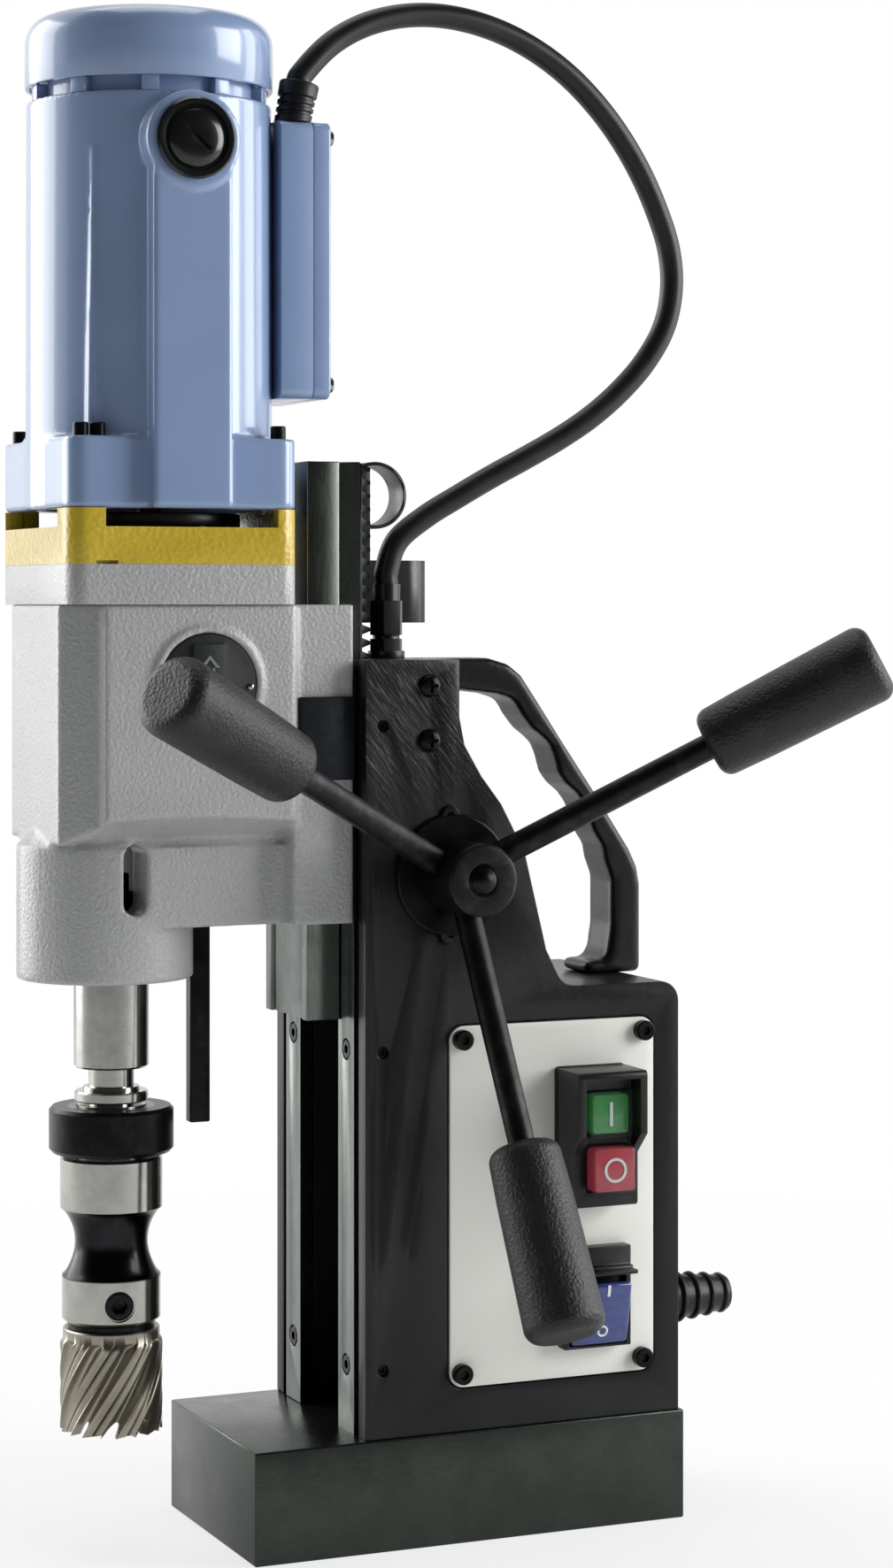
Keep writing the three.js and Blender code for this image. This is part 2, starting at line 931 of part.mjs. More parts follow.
function carryHandle() {
  const towerRear = frame.front + frame.towerDepth;
  const half = handle.width / 2;
  const outer = handleOuterShares.map(handlePoint);
  const inner = handleInnerShares.map(handlePoint);
  const innerEnd = inner.at(-1);
  const arch = [[towerRear + clearance, frame.top], ...outer, ...inner, [towerRear + clearance, innerEnd[1]]];
  const bar = prismY(arch, [-half, half]);
  const tongueBottom = innerEnd[1] - handleScrewDrop();
  const tongueHalf = handle.tongueWidth / 2;
  const tongue = block([towerRear - handle.tongue, innerEnd[0]], [-tongueHalf, tongueHalf],
    [tongueBottom, frame.top - handle.cover]);
  const besideSlope = prismY(frameOutline().map(([x, z]) => [x + clearance, z]), [-frameSide, -tongueHalf]);
  const besideFar = prismY(frameOutline().map(([x, z]) => [x + clearance, z]), [tongueHalf, frameSide]);
  const slopeCut = block([frame.front, towerRear + handle.reach], [-half, half], [frame.shelf, tongueBottom]);
  const [footX] = outer.at(-1);
  const foot = block([footX - handle.footLength, footX], [-half, half],
    [frame.shelf, between(frame.shelf, frame.top, handleOuterShares.at(-1)[1])]);
  const belowTongue = cut(join(tongue), slopeCut);
  const holes = handleScrewHoles();
  return cut(join(bar, belowTongue, foot), besideSlope, besideFar, ...holes);
}

function handleScrewBody(z) {
  const head = turned('y', [handleScrew.x, z], [
    [0, -frameSide - handleScrew.headHeight],
    [handleScrew.headRadius / 2, -frameSide - handleScrew.headHeight],
    [handleScrew.headRadius, -frameSide - handleScrew.headHeight / 2],
    [handleScrew.headRadius, -frameSide],
    [handleScrew.shankRadius, -frameSide],
    [handleScrew.shankRadius, -frameSide + handleScrew.length],
    [0, -frameSide + handleScrew.length],
  ], smallSides);
  const reach = handleScrew.headRadius * crossShare;
  const half = handleScrew.slot / 2;
  const depth = [-frameSide - handleScrew.headHeight - overrun, -frameSide - handleScrew.headHeight / 2];
  const across = block([handleScrew.x - reach, handleScrew.x + reach], depth, [z - half, z + half]);
  const upright = block([handleScrew.x - half, handleScrew.x + half], depth, [z - reach, z + reach]);
  return cut(head, across, upright);
}

// The control panel

function controlPanel() {
  const front = -frameSide - panel.proud;
  return prismY(panelOutline(0), [front, front + panel.thickness]);
}

const panelFace = -frameSide - panel.proud;

function motorSwitchHousing() {
  const { bottom, top, left, right, depth, hoodDepth, hoodFrom, slopeFrom, wall } = motorSwitch;
  const side = rounded([
    [panelFace, bottom],
    [panelFace, top],
    [panelFace - hoodDepth, top],
    [panelFace - hoodDepth, hoodFrom],
    [panelFace - depth, slopeFrom],
    [panelFace - depth, bottom],
  ], [0, 0, motorSwitch.radius, 0, 0, motorSwitch.radius]);
  const whole = prismX(side, [left, right]);
  const hoodRoom = block([left + wall, right - wall], [panelFace - hoodDepth - overrun, panelFace - depth],
    [slopeFrom, top - wall]);
  const bores = [startButton(clearance, overrun), stopButton(clearance, overrun)];
  return cut(whole, hoodRoom, ...bores);
}

function startButton(gap, extra) {
  return buttonSolid(pushButton.startZ, pushButton.startProud, gap, extra);
}

function stopButton(gap, extra) {
  return buttonSolid(pushButton.stopZ, pushButton.stopProud, gap, extra);
}

function buttonSolid(z, proud, gap, extra) {
  const halfWidth = pushButton.width / 2 + gap;
  const halfHeight = pushButton.height / 2 + gap;
  const face = panelFace - motorSwitch.depth - proud;
  const back = face + pushButton.depth + (gap > 0 ? pushButton.travel + gap : 0);
  return prismY(
    rounded(rectangle([pushButton.x - halfWidth, pushButton.x + halfWidth], [z - halfHeight, z + halfHeight]),
      pushButton.corner),
    [face - extra, back]);
}

function magnetSwitchBezel() {
  const { bottom, top, left, right, depth, wall, pocketDepth } = magnetSwitch;
  const { ledgeBottom, ledgeTop, ledgeDepth, ledgeStep, stepDepth } = magnetSwitch;
  const side = [
    [panelFace, bottom],
    [panelFace, top],
    [panelFace - depth, top],
    [panelFace - depth, ledgeTop],
    [panelFace - stepDepth, ledgeTop],
    [panelFace - stepDepth, ledgeTop - ledgeStep],
    [panelFace - ledgeDepth, ledgeTop - ledgeStep],
    [panelFace - ledgeDepth, ledgeBottom],
    [panelFace - depth, ledgeBottom],
    [panelFace - depth, bottom],
  ];
  const whole = prismX(side, [left, right]);
  const [, middle] = rockerPivot();
  const reach = rocker.halfHeight + magnetSwitch.taper;
  const pocket = block(
    [left + wall, right - wall],
    [panelFace - depth - overrun, panelFace - depth + pocketDepth],
    [middle - reach, middle + reach],
  );
  return cut(whole, pocket);
}

function rockerPivot() {
  const middle = (magnetSwitch.bottom + magnetSwitch.ledgeBottom) / 2;
  return [panelFace - rocker.pivotDepth - rocker.rootRadius, middle];
}

function magnetRocker() {
  const [pivotY, pivotZ] = rockerPivot();
  const back = panelFace - magnetSwitch.depth + magnetSwitch.pocketDepth;
  const side = [
    [back - clearance - rocker.rootRadius, 0],
    [pivotY - rocker.rootRadius, rocker.halfHeight - rocker.tip / 2],
    [panelFace - rocker.tip, rocker.halfHeight],
    [panelFace - rocker.tip - rocker.rootRadius, rocker.halfHeight],
    [panelFace - rocker.crown - clearance, 0],
    [panelFace - rocker.tip - rocker.rootRadius, -rocker.halfHeight],
    [panelFace - rocker.tip, -rocker.halfHeight],
    [pivotY - rocker.rootRadius, -rocker.halfHeight + rocker.tip / 2],
  ].map(([y, z]) => [y - pivotY, z]);
  const turn = radians(rocker.tiltDegrees);
  const tilted = side.map(([y, z]) => [
    pivotY + y * Math.cos(turn) - z * Math.sin(turn),
    pivotZ + y * Math.sin(turn) + z * Math.cos(turn),
  ]);
  return prismX(tilted, [
    magnetSwitch.left + magnetSwitch.wall + clearance,
    magnetSwitch.right - magnetSwitch.wall - clearance,
  ]);
}

function circuitBoard() {
  const back = cavitySide - board.standOff;
  const x = [cavity.front + board.margin, cavity.rear - board.margin];
  const z = [cavity.bottom + board.margin, cavity.top - board.margin];
  const plate = block(x, [back - board.thickness, back], z);
  const middleX = (x[0] + x[1]) / 2;
  const middleZ = (z[0] + z[1]) / 2;
  const half = board.relaySize / 2;
  const relay = block(
    [middleX - half, middleX + half],
    [back - board.thickness - board.relayHeight, back - board.thickness / 2],
    [middleZ - half, middleZ + half],
  );
  const posts = [x[0] + board.margin, x[1] - board.margin].map((postX) => cylinder('y', [postX, middleZ],
    board.postRadius, [back - board.thickness / 2, cavitySide], smallSides));
  return join(plate, relay, ...posts);
}

// The boot where the power cord would enter

function cordBoot() {
  const profile = [
    [boot.bore, frame.rear],
    [boot.radius, frame.rear],
    [boot.radius, frame.rear + boot.collar],
  ];
  const ribbed = boot.length - boot.collar;
  for (let k = 0; k < boot.ribCount; k += 1) {
    const start = frame.rear + boot.collar + (ribbed * k) / boot.ribCount;
    const third = ribbed / boot.ribCount / 3;
    const outer = between(boot.radius, boot.tipRadius, (k + 1) / boot.ribCount);
    profile.push([outer - boot.ribDepth, start], [outer - boot.ribDepth, start + third]);
    profile.push([outer, start + third], [outer, start + 3 * third]);
  }
  profile.push([boot.bore, frame.rear + boot.length], [boot.bore, frame.rear]);
  return turned('x', [boot.y, boot.z], profile, smallSides);
}

// The slide and its guides

function slideBar() {
  const { front, shoulder, back, halfWidth, neckHalfWidth, flangeHalfWidth } = slide;
  const half = [
    [front, 0],
    [front, halfWidth],
    [shoulder, halfWidth],
    [shoulder, neckHalfWidth],
    [back, flangeHalfWidth],
  ];
  const mirrored = half.slice(1).map(([x, y]) => [x, -y]).reverse();
  const whole = prismZ([...half.slice(1), ...mirrored], [slide.bottom, slide.top]);
  const grooveHalf = halfWidth - slide.lip;
  const groove = block([front - overrun, front + slide.grooveDepth], [-grooveHalf, grooveHalf],
    [slide.bottom - overrun, rearBlock.bottom - clearance]);
  return cut(whole, groove);
}

function guideRail(side) {
  const lean = (slide.flangeHalfWidth - slide.neckHalfWidth) / (slide.back - slide.shoulder);
  const gap = clearance / Math.cos(Math.atan(lean));
  const seat = frame.front + frame.recessDepth;
  const innerAt = (x) => slide.neckHalfWidth + (x - slide.shoulder) * lean + gap;
  const points = [
    [rail.front, innerAt(rail.front)],
    [rail.front, rail.outer],
    [seat, rail.outer],
    [seat, innerAt(seat)],
  ].map(([x, y]) => [x, side * y]);
  const middle = side * (innerAt(rail.front) + rail.outer) / 2;
  const holes = rail.screwHeights.map((z) => cylinder('x', [middle, z], rail.screwRadius,
    [rail.front - overrun, rail.front + rail.screwDepth], smallSides));
  return cut(prismZ(points, [magnet.height, frame.top]), ...holes);
}

function rackBar() {
  const outline = rackOutline(slide.back, [slide.bottom, slide.top], feedGear.height);
  return prismY(outline, [-feedGear.halfWidth, feedGear.halfWidth]);
}

// The feed shaft and its handles

function feedShaft() {
  const [axisX, axisZ] = feedAxis;
  const outline = gearOutline({
    module: feedGear.module,
    teeth: feedGear.teeth,
    backlash: feedGear.backlash,
    phase: Math.PI / feedGear.teeth,
  }).map(([u, v]) => [axisX + u, axisZ + v]);
  const pinion = prismY(outline, [-feedGear.halfWidth, feedGear.halfWidth]);
  const front = cylinder('y', feedAxis, feedGear.shaftRadius, [-hubBack + clearance, frameSide - clearance]);
  const end = cylinder('y', feedAxis, hub.bore - clearance, [-hubBoreEnd, -frameSide]);
  return join(pinion, front, end);
}

function feedFlange() {
  const bushInner = feedGear.shaftRadius + clearance;
  return turned('y', feedAxis, [
    [bushInner, -frameSide - flange.thickness],
    [flange.radius, -frameSide - flange.thickness],
    [flange.radius, -frameSide],
    [flange.bossRadius - clearance, -frameSide],
    [flange.bossRadius - clearance, -feedGear.halfWidth - frame.pinionRoom],
    [bushInner, -feedGear.halfWidth - frame.pinionRoom],
    [bushInner, -frameSide - flange.thickness],
  ], largeSides);
}

function shaftBush() {
  return ring('y', feedAxis, flange.bossRadius - clearance, feedGear.shaftRadius + clearance,
    [feedGear.halfWidth + frame.pinionRoom, frameSide], mediumSides);
}

// A turned piece on a spoke: its profile runs outwards from the hub's axis
function onSpoke(profile, angle, sides) {
  const points = profile.map(([r, h]) => new THREE.Vector2(r, h));
  const geometry = new THREE.LatheGeometry(points, sides);
  const tilt = radians(spoke.tiltDegrees);
  const turn = radians(angle);
  const along = new THREE.Vector3(
    Math.cos(tilt) * Math.cos(turn), -Math.sin(tilt), Math.cos(tilt) * Math.sin(turn));
  geometry.applyQuaternion(new THREE.Quaternion().setFromUnitVectors(new THREE.Vector3(0, 1, 0), along));
  return solid(geometry.translate(feedAxis[0], -hubBack - spoke.rootStep, feedAxis[1]));
}

function spokeRod(angle, gap = 0) {
  const radius = spoke.radius + gap;
  const [start, end] = [spoke.start - gap, spoke.rodEnd + gap];
  return onSpoke([[0, start], [radius, start], [radius, end], [0, end]], angle, smallSides);
}

function spokeGrip(angle) {
  const { gripStart, gripEnd, gripInner, gripOuter, endRadius } = spoke;
  const whole = onSpoke([
    [0, gripStart],
    ...quarterRound(gripInner, gripStart, endRadius, -1).reverse(),
    ...quarterRound(gripOuter, gripEnd, endRadius, 1),
    [0, gripEnd],
  ], angle, mediumSides);
  return cut(whole, spokeRod(angle, clearance));
}

function feedHub() {
  const whole = turned('y', feedAxis, [
    [0, -hubFace],
    [hub.faceRadius, -hubFace],
    [hub.radius, -hubShoulder],
    [hub.radius, -hubBack],
    [0, -hubBack],
  ]);
  const bore = cylinder('y', feedAxis, hub.bore, [-hubBoreEnd - clearance, -hubBack + overrun]);
  const capHole = cylinder('y', feedAxis, hub.capRadius + clearance,
    [-hubFace - overrun, -hubFace + hub.capDome]);
  return cut(whole, bore, capHole, ...spoke.angles.map((angle) => spokeRod(angle, clearance)));
}

function hubCap() {
  return turned('y', feedAxis, [
    [0, -hubFace - hub.capDome],
    [hub.capRadius * crossShare, -hubFace - hub.capDome * domeShare],
    [hub.capRadius, -hubFace],
    [hub.capRadius, -hubFace + hub.capDome],
    [0, -hubFace + hub.capDome],
  ], mediumSides);
}

// The gearbox

function gearboxCorner(side) {
  const points = rounded([
    [gearbox.front - overrun, side * (gearbox.halfWidth - gearbox.cornerY)],
    [gearbox.front + gearbox.cornerX, side * (gearbox.halfWidth - gearbox.cornerY)],
    [gearbox.front + gearbox.cornerX, side * (gearbox.halfWidth + overrun)],
    [gearbox.front - overrun, side * (gearbox.halfWidth + overrun)],
  ], [0, gearbox.cornerRadius, 0, 0]);
  return prismZ(points, [gearbox.lowerBottom, gearbox.top + overrun]);
}

function gearboxLower() {
  const { noseX, noseRadius, waistX, waistHalfWidth } = gearbox;
  const points = rounded([
    [noseX - noseRadius, -noseRadius],
    [noseX, -noseRadius],
    [waistX, -waistHalfWidth],
    [rearBlock.front, -rearBlock.halfWidth],
    [rearBlock.back, -rearBlock.halfWidth],
    [rearBlock.back, rearBlock.halfWidth],
    [rearBlock.front, rearBlock.halfWidth],
    [waistX, waistHalfWidth],
    [noseX, noseRadius],
    [noseX - noseRadius, noseRadius],
  ], [noseRadius, 0, gearbox.edgeRadius, 0, 0, 0, 0, gearbox.edgeRadius, 0, noseRadius]);
  return prismZ(points, [gearbox.lowerBottom, gearbox.arch]);
}

function gearboxHousing() {
  const { front, rear, halfWidth, top, arch, archFront, archRear } = gearbox;
  const middle = (front + rear) / 2;
  const upper = prismZ(rounded(rectangle([front, rear], [-halfWidth, halfWidth]), gearbox.edgeRadius),
    [gearbox.lowerBottom, top]);
  const quarter = (rear - front) / 4;
  const underArch = prismY([
    [front - overrun, gearbox.lowerBottom - overrun],
    [rear + overrun, gearbox.lowerBottom - overrun],
    [rear + overrun, archRear],
    [middle + quarter, between(archRear, arch, domeShare)],
    [middle, arch],
    [middle - quarter, between(archFront, arch, domeShare)],
    [front - overrun, archFront],
  ], [-halfWidth - overrun, halfWidth + overrun]);
  const body = join(
    cut(upper, underArch, gearboxCorner(-1), gearboxCorner(1)),
    gearboxLower(),
    block(
      [rearBlock.front, rearBlock.back],
      [-rearBlock.halfWidth, rearBlock.halfWidth],
      [rearBlock.bottom, top],
    ),
    cylinder('z', [gearbox.noseX, 0], gearbox.noseRadius, [gearbox.noseBottom, gearbox.arch], largeSides),
    cylinder('y', [selector.x, selector.z], selector.ringRadius,
      [-halfWidth - selector.ringProud, -halfWidth]),
  );
  return cut(body, ...gearboxCuts());
}

function gearboxCuts() {
  const { front, rear, halfWidth, wall, top, floor } = gearbox;
  const room = block(
    [front + wall, rear - wall], [-halfWidth + wall, halfWidth - wall], [floor, top + overrun]);
  const cornerPosts = [-1, 1].map((side) => block(
    [front, front + gearbox.cornerX + gearbox.cornerWall],
    sideSpan(side, halfWidth - gearbox.cornerY - gearbox.cornerWall, halfWidth),
    [floor - overrun, top + 2 * overrun]));
  const slideSlot = block([slide.front, rearBlock.back + overrun], [-slide.halfWidth, slide.halfWidth],
    [rearBlock.bottom - overrun, top + overrun]);
  const spindleHole = cylinder('z', spindleAxis, spindle.radius + clearance,
    [gearbox.noseBottom - overrun, floor + overrun], largeSides);
  const bearingSeat = cylinder('z', spindleAxis, bearing.outer + clearance,
    [gearbox.noseBottom - overrun, gearbox.noseBottom + bearing.height + clearance], largeSides);
  const idlerSeat = cylinder('z', idlerAxis, idler.shaftRadius + clearance,
    [floor - idler.seat - clearance, floor + overrun]);
  const halfSlot = driftSlot.width / 2;
  const driftOutline = rectangle(
    [driftSlot.x - halfSlot, driftSlot.x + halfSlot], [driftSlot.bottom, driftSlot.top]);
  const drift = prismY(rounded(driftOutline, halfSlot), [-halfWidth - overrun, halfWidth + overrun]);
  const ringFace = -halfWidth - selector.ringProud;
  const selectorSeat = cylinder('y', [selector.x, selector.z], selector.discRadius + clearance,
    [ringFace - overrun, ringFace + selector.sunk + selector.depth + clearance], largeSides);
  const half = torqueBar.width / 2 + clearance;
  const barSeat = block([torqueBar.x - half, torqueBar.x + half],
    [-torqueBar.thickness / 2 - clearance, torqueBar.thickness / 2 + clearance],
    [gearbox.noseBottom - overrun, gearbox.lowerBottom + torqueBar.seat + clearance]);
  const seats = [bearingSeat, idlerSeat, selectorSeat, barSeat];
  return [cut(room, ...cornerPosts), slideSlot, spindleHole, drift, ...seats];
}

function headOutline(inset) {
  const { front, rear } = gearbox;
  return rounded(rectangle([front + inset, rear - inset], [-lid.halfWidth + inset, lid.halfWidth - inset]),
    Math.max(lid.radius - inset, gearbox.edgeRadius));
}

function gearboxLid() {
  const whole = prismZ(headOutline(0), [gearbox.top, lidTop]);
  const shaftHole = cylinder('z', motorAxis, armature.shaftRadius + clearance,
    [gearbox.top - overrun, lidTop + overrun]);
  const boss = ring('z', idlerAxis, idler.shaftRadius * 2, idler.shaftRadius + clearance,
    [gearbox.top - lid.spigot, gearbox.top + lid.spigot]);
  const bossHole = cylinder('z', idlerAxis, idler.shaftRadius + clearance,
    [gearbox.top - lid.spigot - overrun, gearbox.top + lid.spigot]);
  return cut(join(cut(whole, shaftHole), boss), bossHole);
}

function fanRingBody() {
  const walls = prismZ(headOutline(0), [lidTop, ringTop], [headOutline(fanRing.wall)]);
  const heights = [lidTop + fanRing.windowSill, ringTop + overrun];
  const sideWindows = block(fanRing.windowX, [-lid.halfWidth - overrun, lid.halfWidth + overrun], heights);
  const frontWindow = block([gearbox.front - overrun, motor.x], fanRing.windowY, heights);
  const notch = block(fanRing.notchX, [-lid.halfWidth - overrun, -lid.halfWidth + fanRing.wall / 2],
    [lidTop, lidTop + fanRing.notchHeight]);
  return cut(walls, sideWindows, frontWindow, notch);
}

// The motor

function motorHousing() {
  const { wall, flangeTop, bottomRadius, topRadius, top, endWall } = motor;
  const flangePlate = prismZ(headOutline(0), [ringTop, flangeTop]);
  const barrel = cylinder('z', motorAxis, bottomRadius, [ringTop, top], largeSides, topRadius);
  const strips = [-1, 1].map((side) => motorStrip(side));
  const rib = cylinder('z', [
    motor.x + bottomRadius * Math.cos(radians(motor.ribDegrees)),
    bottomRadius * Math.sin(radians(motor.ribDegrees)),
  ], motor.ribRadius, [ringTop, top - endWall], smallSides);
  const inside = cylinder('z', motorAxis, topRadius - wall, [ringTop - overrun, top - endWall], largeSides);
  const shaftHole = cylinder('z', motorAxis, armature.shaftRadius + clearance,
    [top - endWall - overrun, top + overrun]);
  const brushHoles = [-1, 1].map((side) => brushSeat(side));
  const boxSeat = block(
    [terminal.front, terminal.back],
    [-terminal.halfWidth - clearance, terminal.halfWidth + clearance],
    [terminal.bottom - clearance, terminal.top + clearance],
  );
  const outside = cut(join(flangePlate, barrel, ...strips, rib), boxSeat);
  return cut(outside, inside, shaftHole, ...brushHoles);
}

function sideSpan(side, near, far) {
  return side < 0 ? [-far, -near] : [near, far];
}

function motorStrip(side) {
  const inner = motor.topRadius - motor.wall / 2 - motor.stripHalfWidth / 2;
  const x = [motor.x - motor.stripHalfWidth, motor.x + motor.stripHalfWidth];
  const bar = block(x, sideSpan(side, inner, motor.stripFace), [ringTop, brushCap.z]);
  const round = cylinder('y', [motor.x, brushCap.z], brushCap.bossRadius,
    sideSpan(side, inner, motor.stripFace + brushCap.ringDepth / 2), mediumSides);
  return join(bar, round);
}

function brushSeat(side) {
  const face = motor.stripFace + brushCap.ringDepth / 2;
  return cylinder('y', [motor.x, brushCap.z], brushCap.capRadius + clearance,
    sideSpan(side, face - brushCap.depth, face + overrun), mediumSides);
}

function brushCapBody(side) {
  const face = motor.stripFace + brushCap.ringDepth / 2;
  const half = [
    [0, face - brushCap.depth + clearance],
    [brushCap.capRadius, face - brushCap.depth + clearance],
    [brushCap.capRadius, face],
    [brushCap.ringRadius, face],
    [brushCap.ringRadius, face + brushCap.ringDepth],
    [brushCap.capRadius, face + brushCap.ringDepth],
    [brushCap.capRadius * domeShare, face + brushCap.dome * domeShare],
    [0, face + brushCap.dome],
  ].map(([r, h]) => [r, side * h]);
  const whole = turned('y', [motor.x, brushCap.z], half, mediumSides);
  const reach = brushCap.capRadius * crossShare;
  const slot = block([motor.x - reach, motor.x + reach],
    sideSpan(side, face + brushCap.ringDepth / 2, face + brushCap.dome + overrun),
    [brushCap.z - brushCap.slot / 2, brushCap.z + brushCap.slot / 2]);
  return cut(whole, slot);
}

function motorCapBody() {
  const bottom = motor.top + motorCap.gap;
  const top = bottom + motorCap.height;
  return turned('z', motorAxis, [
    [0, motor.top],
    [motorCap.spigotRadius, motor.top],
    [motorCap.spigotRadius, bottom],
    [motorCap.radius, bottom],
    ...quarterRound(motorCap.radius, top, motorCap.edgeRadius, 1),
    [0, top],
  ]);
}

function statorBody() {
  return ring('z', motorAxis, stator.outer, stator.inner, [stator.bottom, stator.top], largeSides);
}

function terminalBox() {
  const { front, split, bottom, top, halfWidth, radius, wall } = terminal;
  const whole = prismX(rounded(rectangle([-halfWidth, halfWidth], [bottom, top]), radius), [front, split]);
  const room = block(
    [front + wall, split + overrun], [-halfWidth + wall, halfWidth - wall], [bottom + wall, top - wall]);
  const barrel = cylinder('z', motorAxis, motor.bottomRadius + clearance,
    [ringTop, motor.top], largeSides, motor.topRadius + clearance);
  const cableHole = cylinder('z', [relief.x, relief.y], cable.radius,
    [top - wall - overrun, top + overrun], smallSides);
  return cut(whole, room, barrel, cableHole);
}

function terminalCover() {
  const { split, back, bottom, top, halfWidth, radius } = terminal;
  return prismX(rounded(rectangle([-halfWidth, halfWidth], [bottom, top]), radius), [split, back]);
}

function cableRelief() {
  const profile = [[cable.radius, terminal.top], [relief.radius, terminal.top]];
  const pitch = relief.height / (2 * relief.ribs);
  for (let k = 0; k < relief.ribs; k += 1) {
    const z = terminal.top + 2 * k * pitch;
    const outer = between(relief.radius, relief.topRadius, k / relief.ribs);
    const next = between(relief.radius, relief.topRadius, (k + 1) / relief.ribs);
    profile.push([outer, z + pitch], [outer - relief.ribDepth, z + pitch]);
    profile.push([outer - relief.ribDepth, z + 2 * pitch]);
    if (k < relief.ribs - 1) profile.push([next, z + 2 * pitch]);
  }
  profile.push([cable.radius, terminal.top + relief.height], [cable.radius, terminal.top]);
  return turned('z', [relief.x, relief.y], profile, smallSides).warp(leanOver);
}

// Leans a point of the sleeve over the cable's bend. Its foot stays flat on the terminal box.
function leanOver(point) {
  const height = point[2] - terminal.top;
  point[2] -= relief.lean * (point[0] - relief.x) * (height / relief.height);
  point[0] += relief.lean * height;
}

// The rotating inside of the motor

function armatureBody() {
  const pinion = gearZ(motorAxis, {
    module: firstPair.module,
    teeth: firstPair.pinionTeeth,
    backlash: firstPair.backlash,
    phase: toIdlerFromMotor,
  }, [firstPair.z - clearance, firstPair.z + firstPair.width + clearance]);
  const { radius, bottom, top, shaftRadius, shaftTop, windingInset, windingLength } = armature;
  const core = turned('z', motorAxis, [
    [0, firstPair.z + firstPair.width],
    [shaftRadius - clearance, firstPair.z + firstPair.width],
    [shaftRadius, bottom - windingLength],
    [radius - windingInset, bottom - windingLength],
    [radius - windingInset, bottom],
    [radius, bottom],
    [radius, top],
    [radius - windingInset, top],
    [radius - windingInset, top + windingLength],
    [shaftRadius, top + windingLength],
    [shaftRadius, armature.commutatorBottom],
    [armature.commutatorRadius, armature.commutatorBottom],
    [armature.commutatorRadius, armature.commutatorTop],
    [shaftRadius, armature.commutatorTop],
    [shaftRadius, shaftTop],
    [0, shaftTop],
  ], mediumSides);
  return join(pinion, core);
}

function coolingFan() {
  const bottom = lidTop + fan.bottomGap;
  const plate = cylinder('z', motorAxis, fan.radius, [bottom, bottom + fan.plate], mediumSides);
  const boss = cylinder('z', motorAxis, fan.hubRadius, [bottom, bottom + fan.height], mediumSides);
  const blades = Array.from({ length: fan.blades }, (_, k) => {
    const half = fan.bladeThickness / 2;
    const geometry = new THREE.BoxGeometry(fan.radius - fan.hubRadius / 2, fan.bladeThickness, fan.height);
    geometry.translate((fan.radius + fan.hubRadius / 2) / 2 - half, 0, bottom + fan.height / 2);
    geometry.rotateZ((2 * Math.PI * k) / fan.blades);
    return solid(geometry.translate(motor.x, 0, 0));
  });
  const bore = cylinder('z', motorAxis, armature.shaftRadius + clearance,
    [bottom - overrun, bottom + fan.height + overrun]);
  return cut(join(plate, boss, ...blades), bore);
}

function idlerGear() {
  const large = gearZ(idlerAxis, {
    module: firstPair.module,
    teeth: firstPair.wheelTeeth,
    backlash: firstPair.backlash,
    phase: toIdlerFromMotor + Math.PI + Math.PI / firstPair.wheelTeeth,
  }, [firstPair.z, firstPair.z + firstPair.width]);
  const small = gearZ(idlerAxis, {
    module: secondPair.module,
    teeth: secondPair.pinionTeeth,
    backlash: secondPair.backlash,
    phase: toSpindleFromIdler,
  }, [secondPair.z - clearance, firstPair.z]);
  const shaft = cylinder('z', idlerAxis, idler.shaftRadius,
    [gearbox.floor - idler.seat, gearbox.top + lid.spigot - clearance]);
  return join(large, small, shaft);
}

// The spindle, its bearings and what it holds

function spindleBody() {
  const { x, radius, bottom, topRadius, top, taperMouth, taperEnd, taperLength } = spindle;
  const shoulder = secondPair.z - spindle.shoulderDrop;
  const whole = turned('z', [x, 0], [
    [0, bottom + taperLength],
    [taperEnd, bottom + taperLength],
    [taperMouth, bottom],
    [radius, bottom],
    [radius, shoulder],
    [topRadius, shoulder],
    [topRadius, top],
    [0, top],
  ]);
  const half = driftSlot.width / 2;
  const slot = block([x - half, x + half], [-radius - overrun, radius + overrun],
    [bottom + taperLength - radius, driftSlot.top]);
  return cut(whole, slot);
}

function spindleGear() {
  const gear = gearZ(spindleAxis, {
    module: secondPair.module,
    teeth: secondPair.wheelTeeth,
    backlash: secondPair.backlash,
    phase: toSpindleFromIdler + Math.PI + Math.PI / secondPair.wheelTeeth,
  }, [secondPair.z, secondPair.z + secondPair.width]);
  const bore = cylinder('z', spindleAxis, spindle.topRadius + clearance,
    [secondPair.z - overrun, secondPair.z + secondPair.width + overrun]);
  return cut(gear, bore);
}

function lowerBearing() {
  return ring('z', spindleAxis, bearing.outer, spindle.radius + clearance,
    [gearbox.noseBottom, gearbox.noseBottom + bearing.height], largeSides);
}

function upperBearing() {
  return ring('z', spindleAxis, bearing.outer, spindle.radius + clearance,
    [gearbox.floor, gearbox.floor + bearing.upperHeight], largeSides);
}

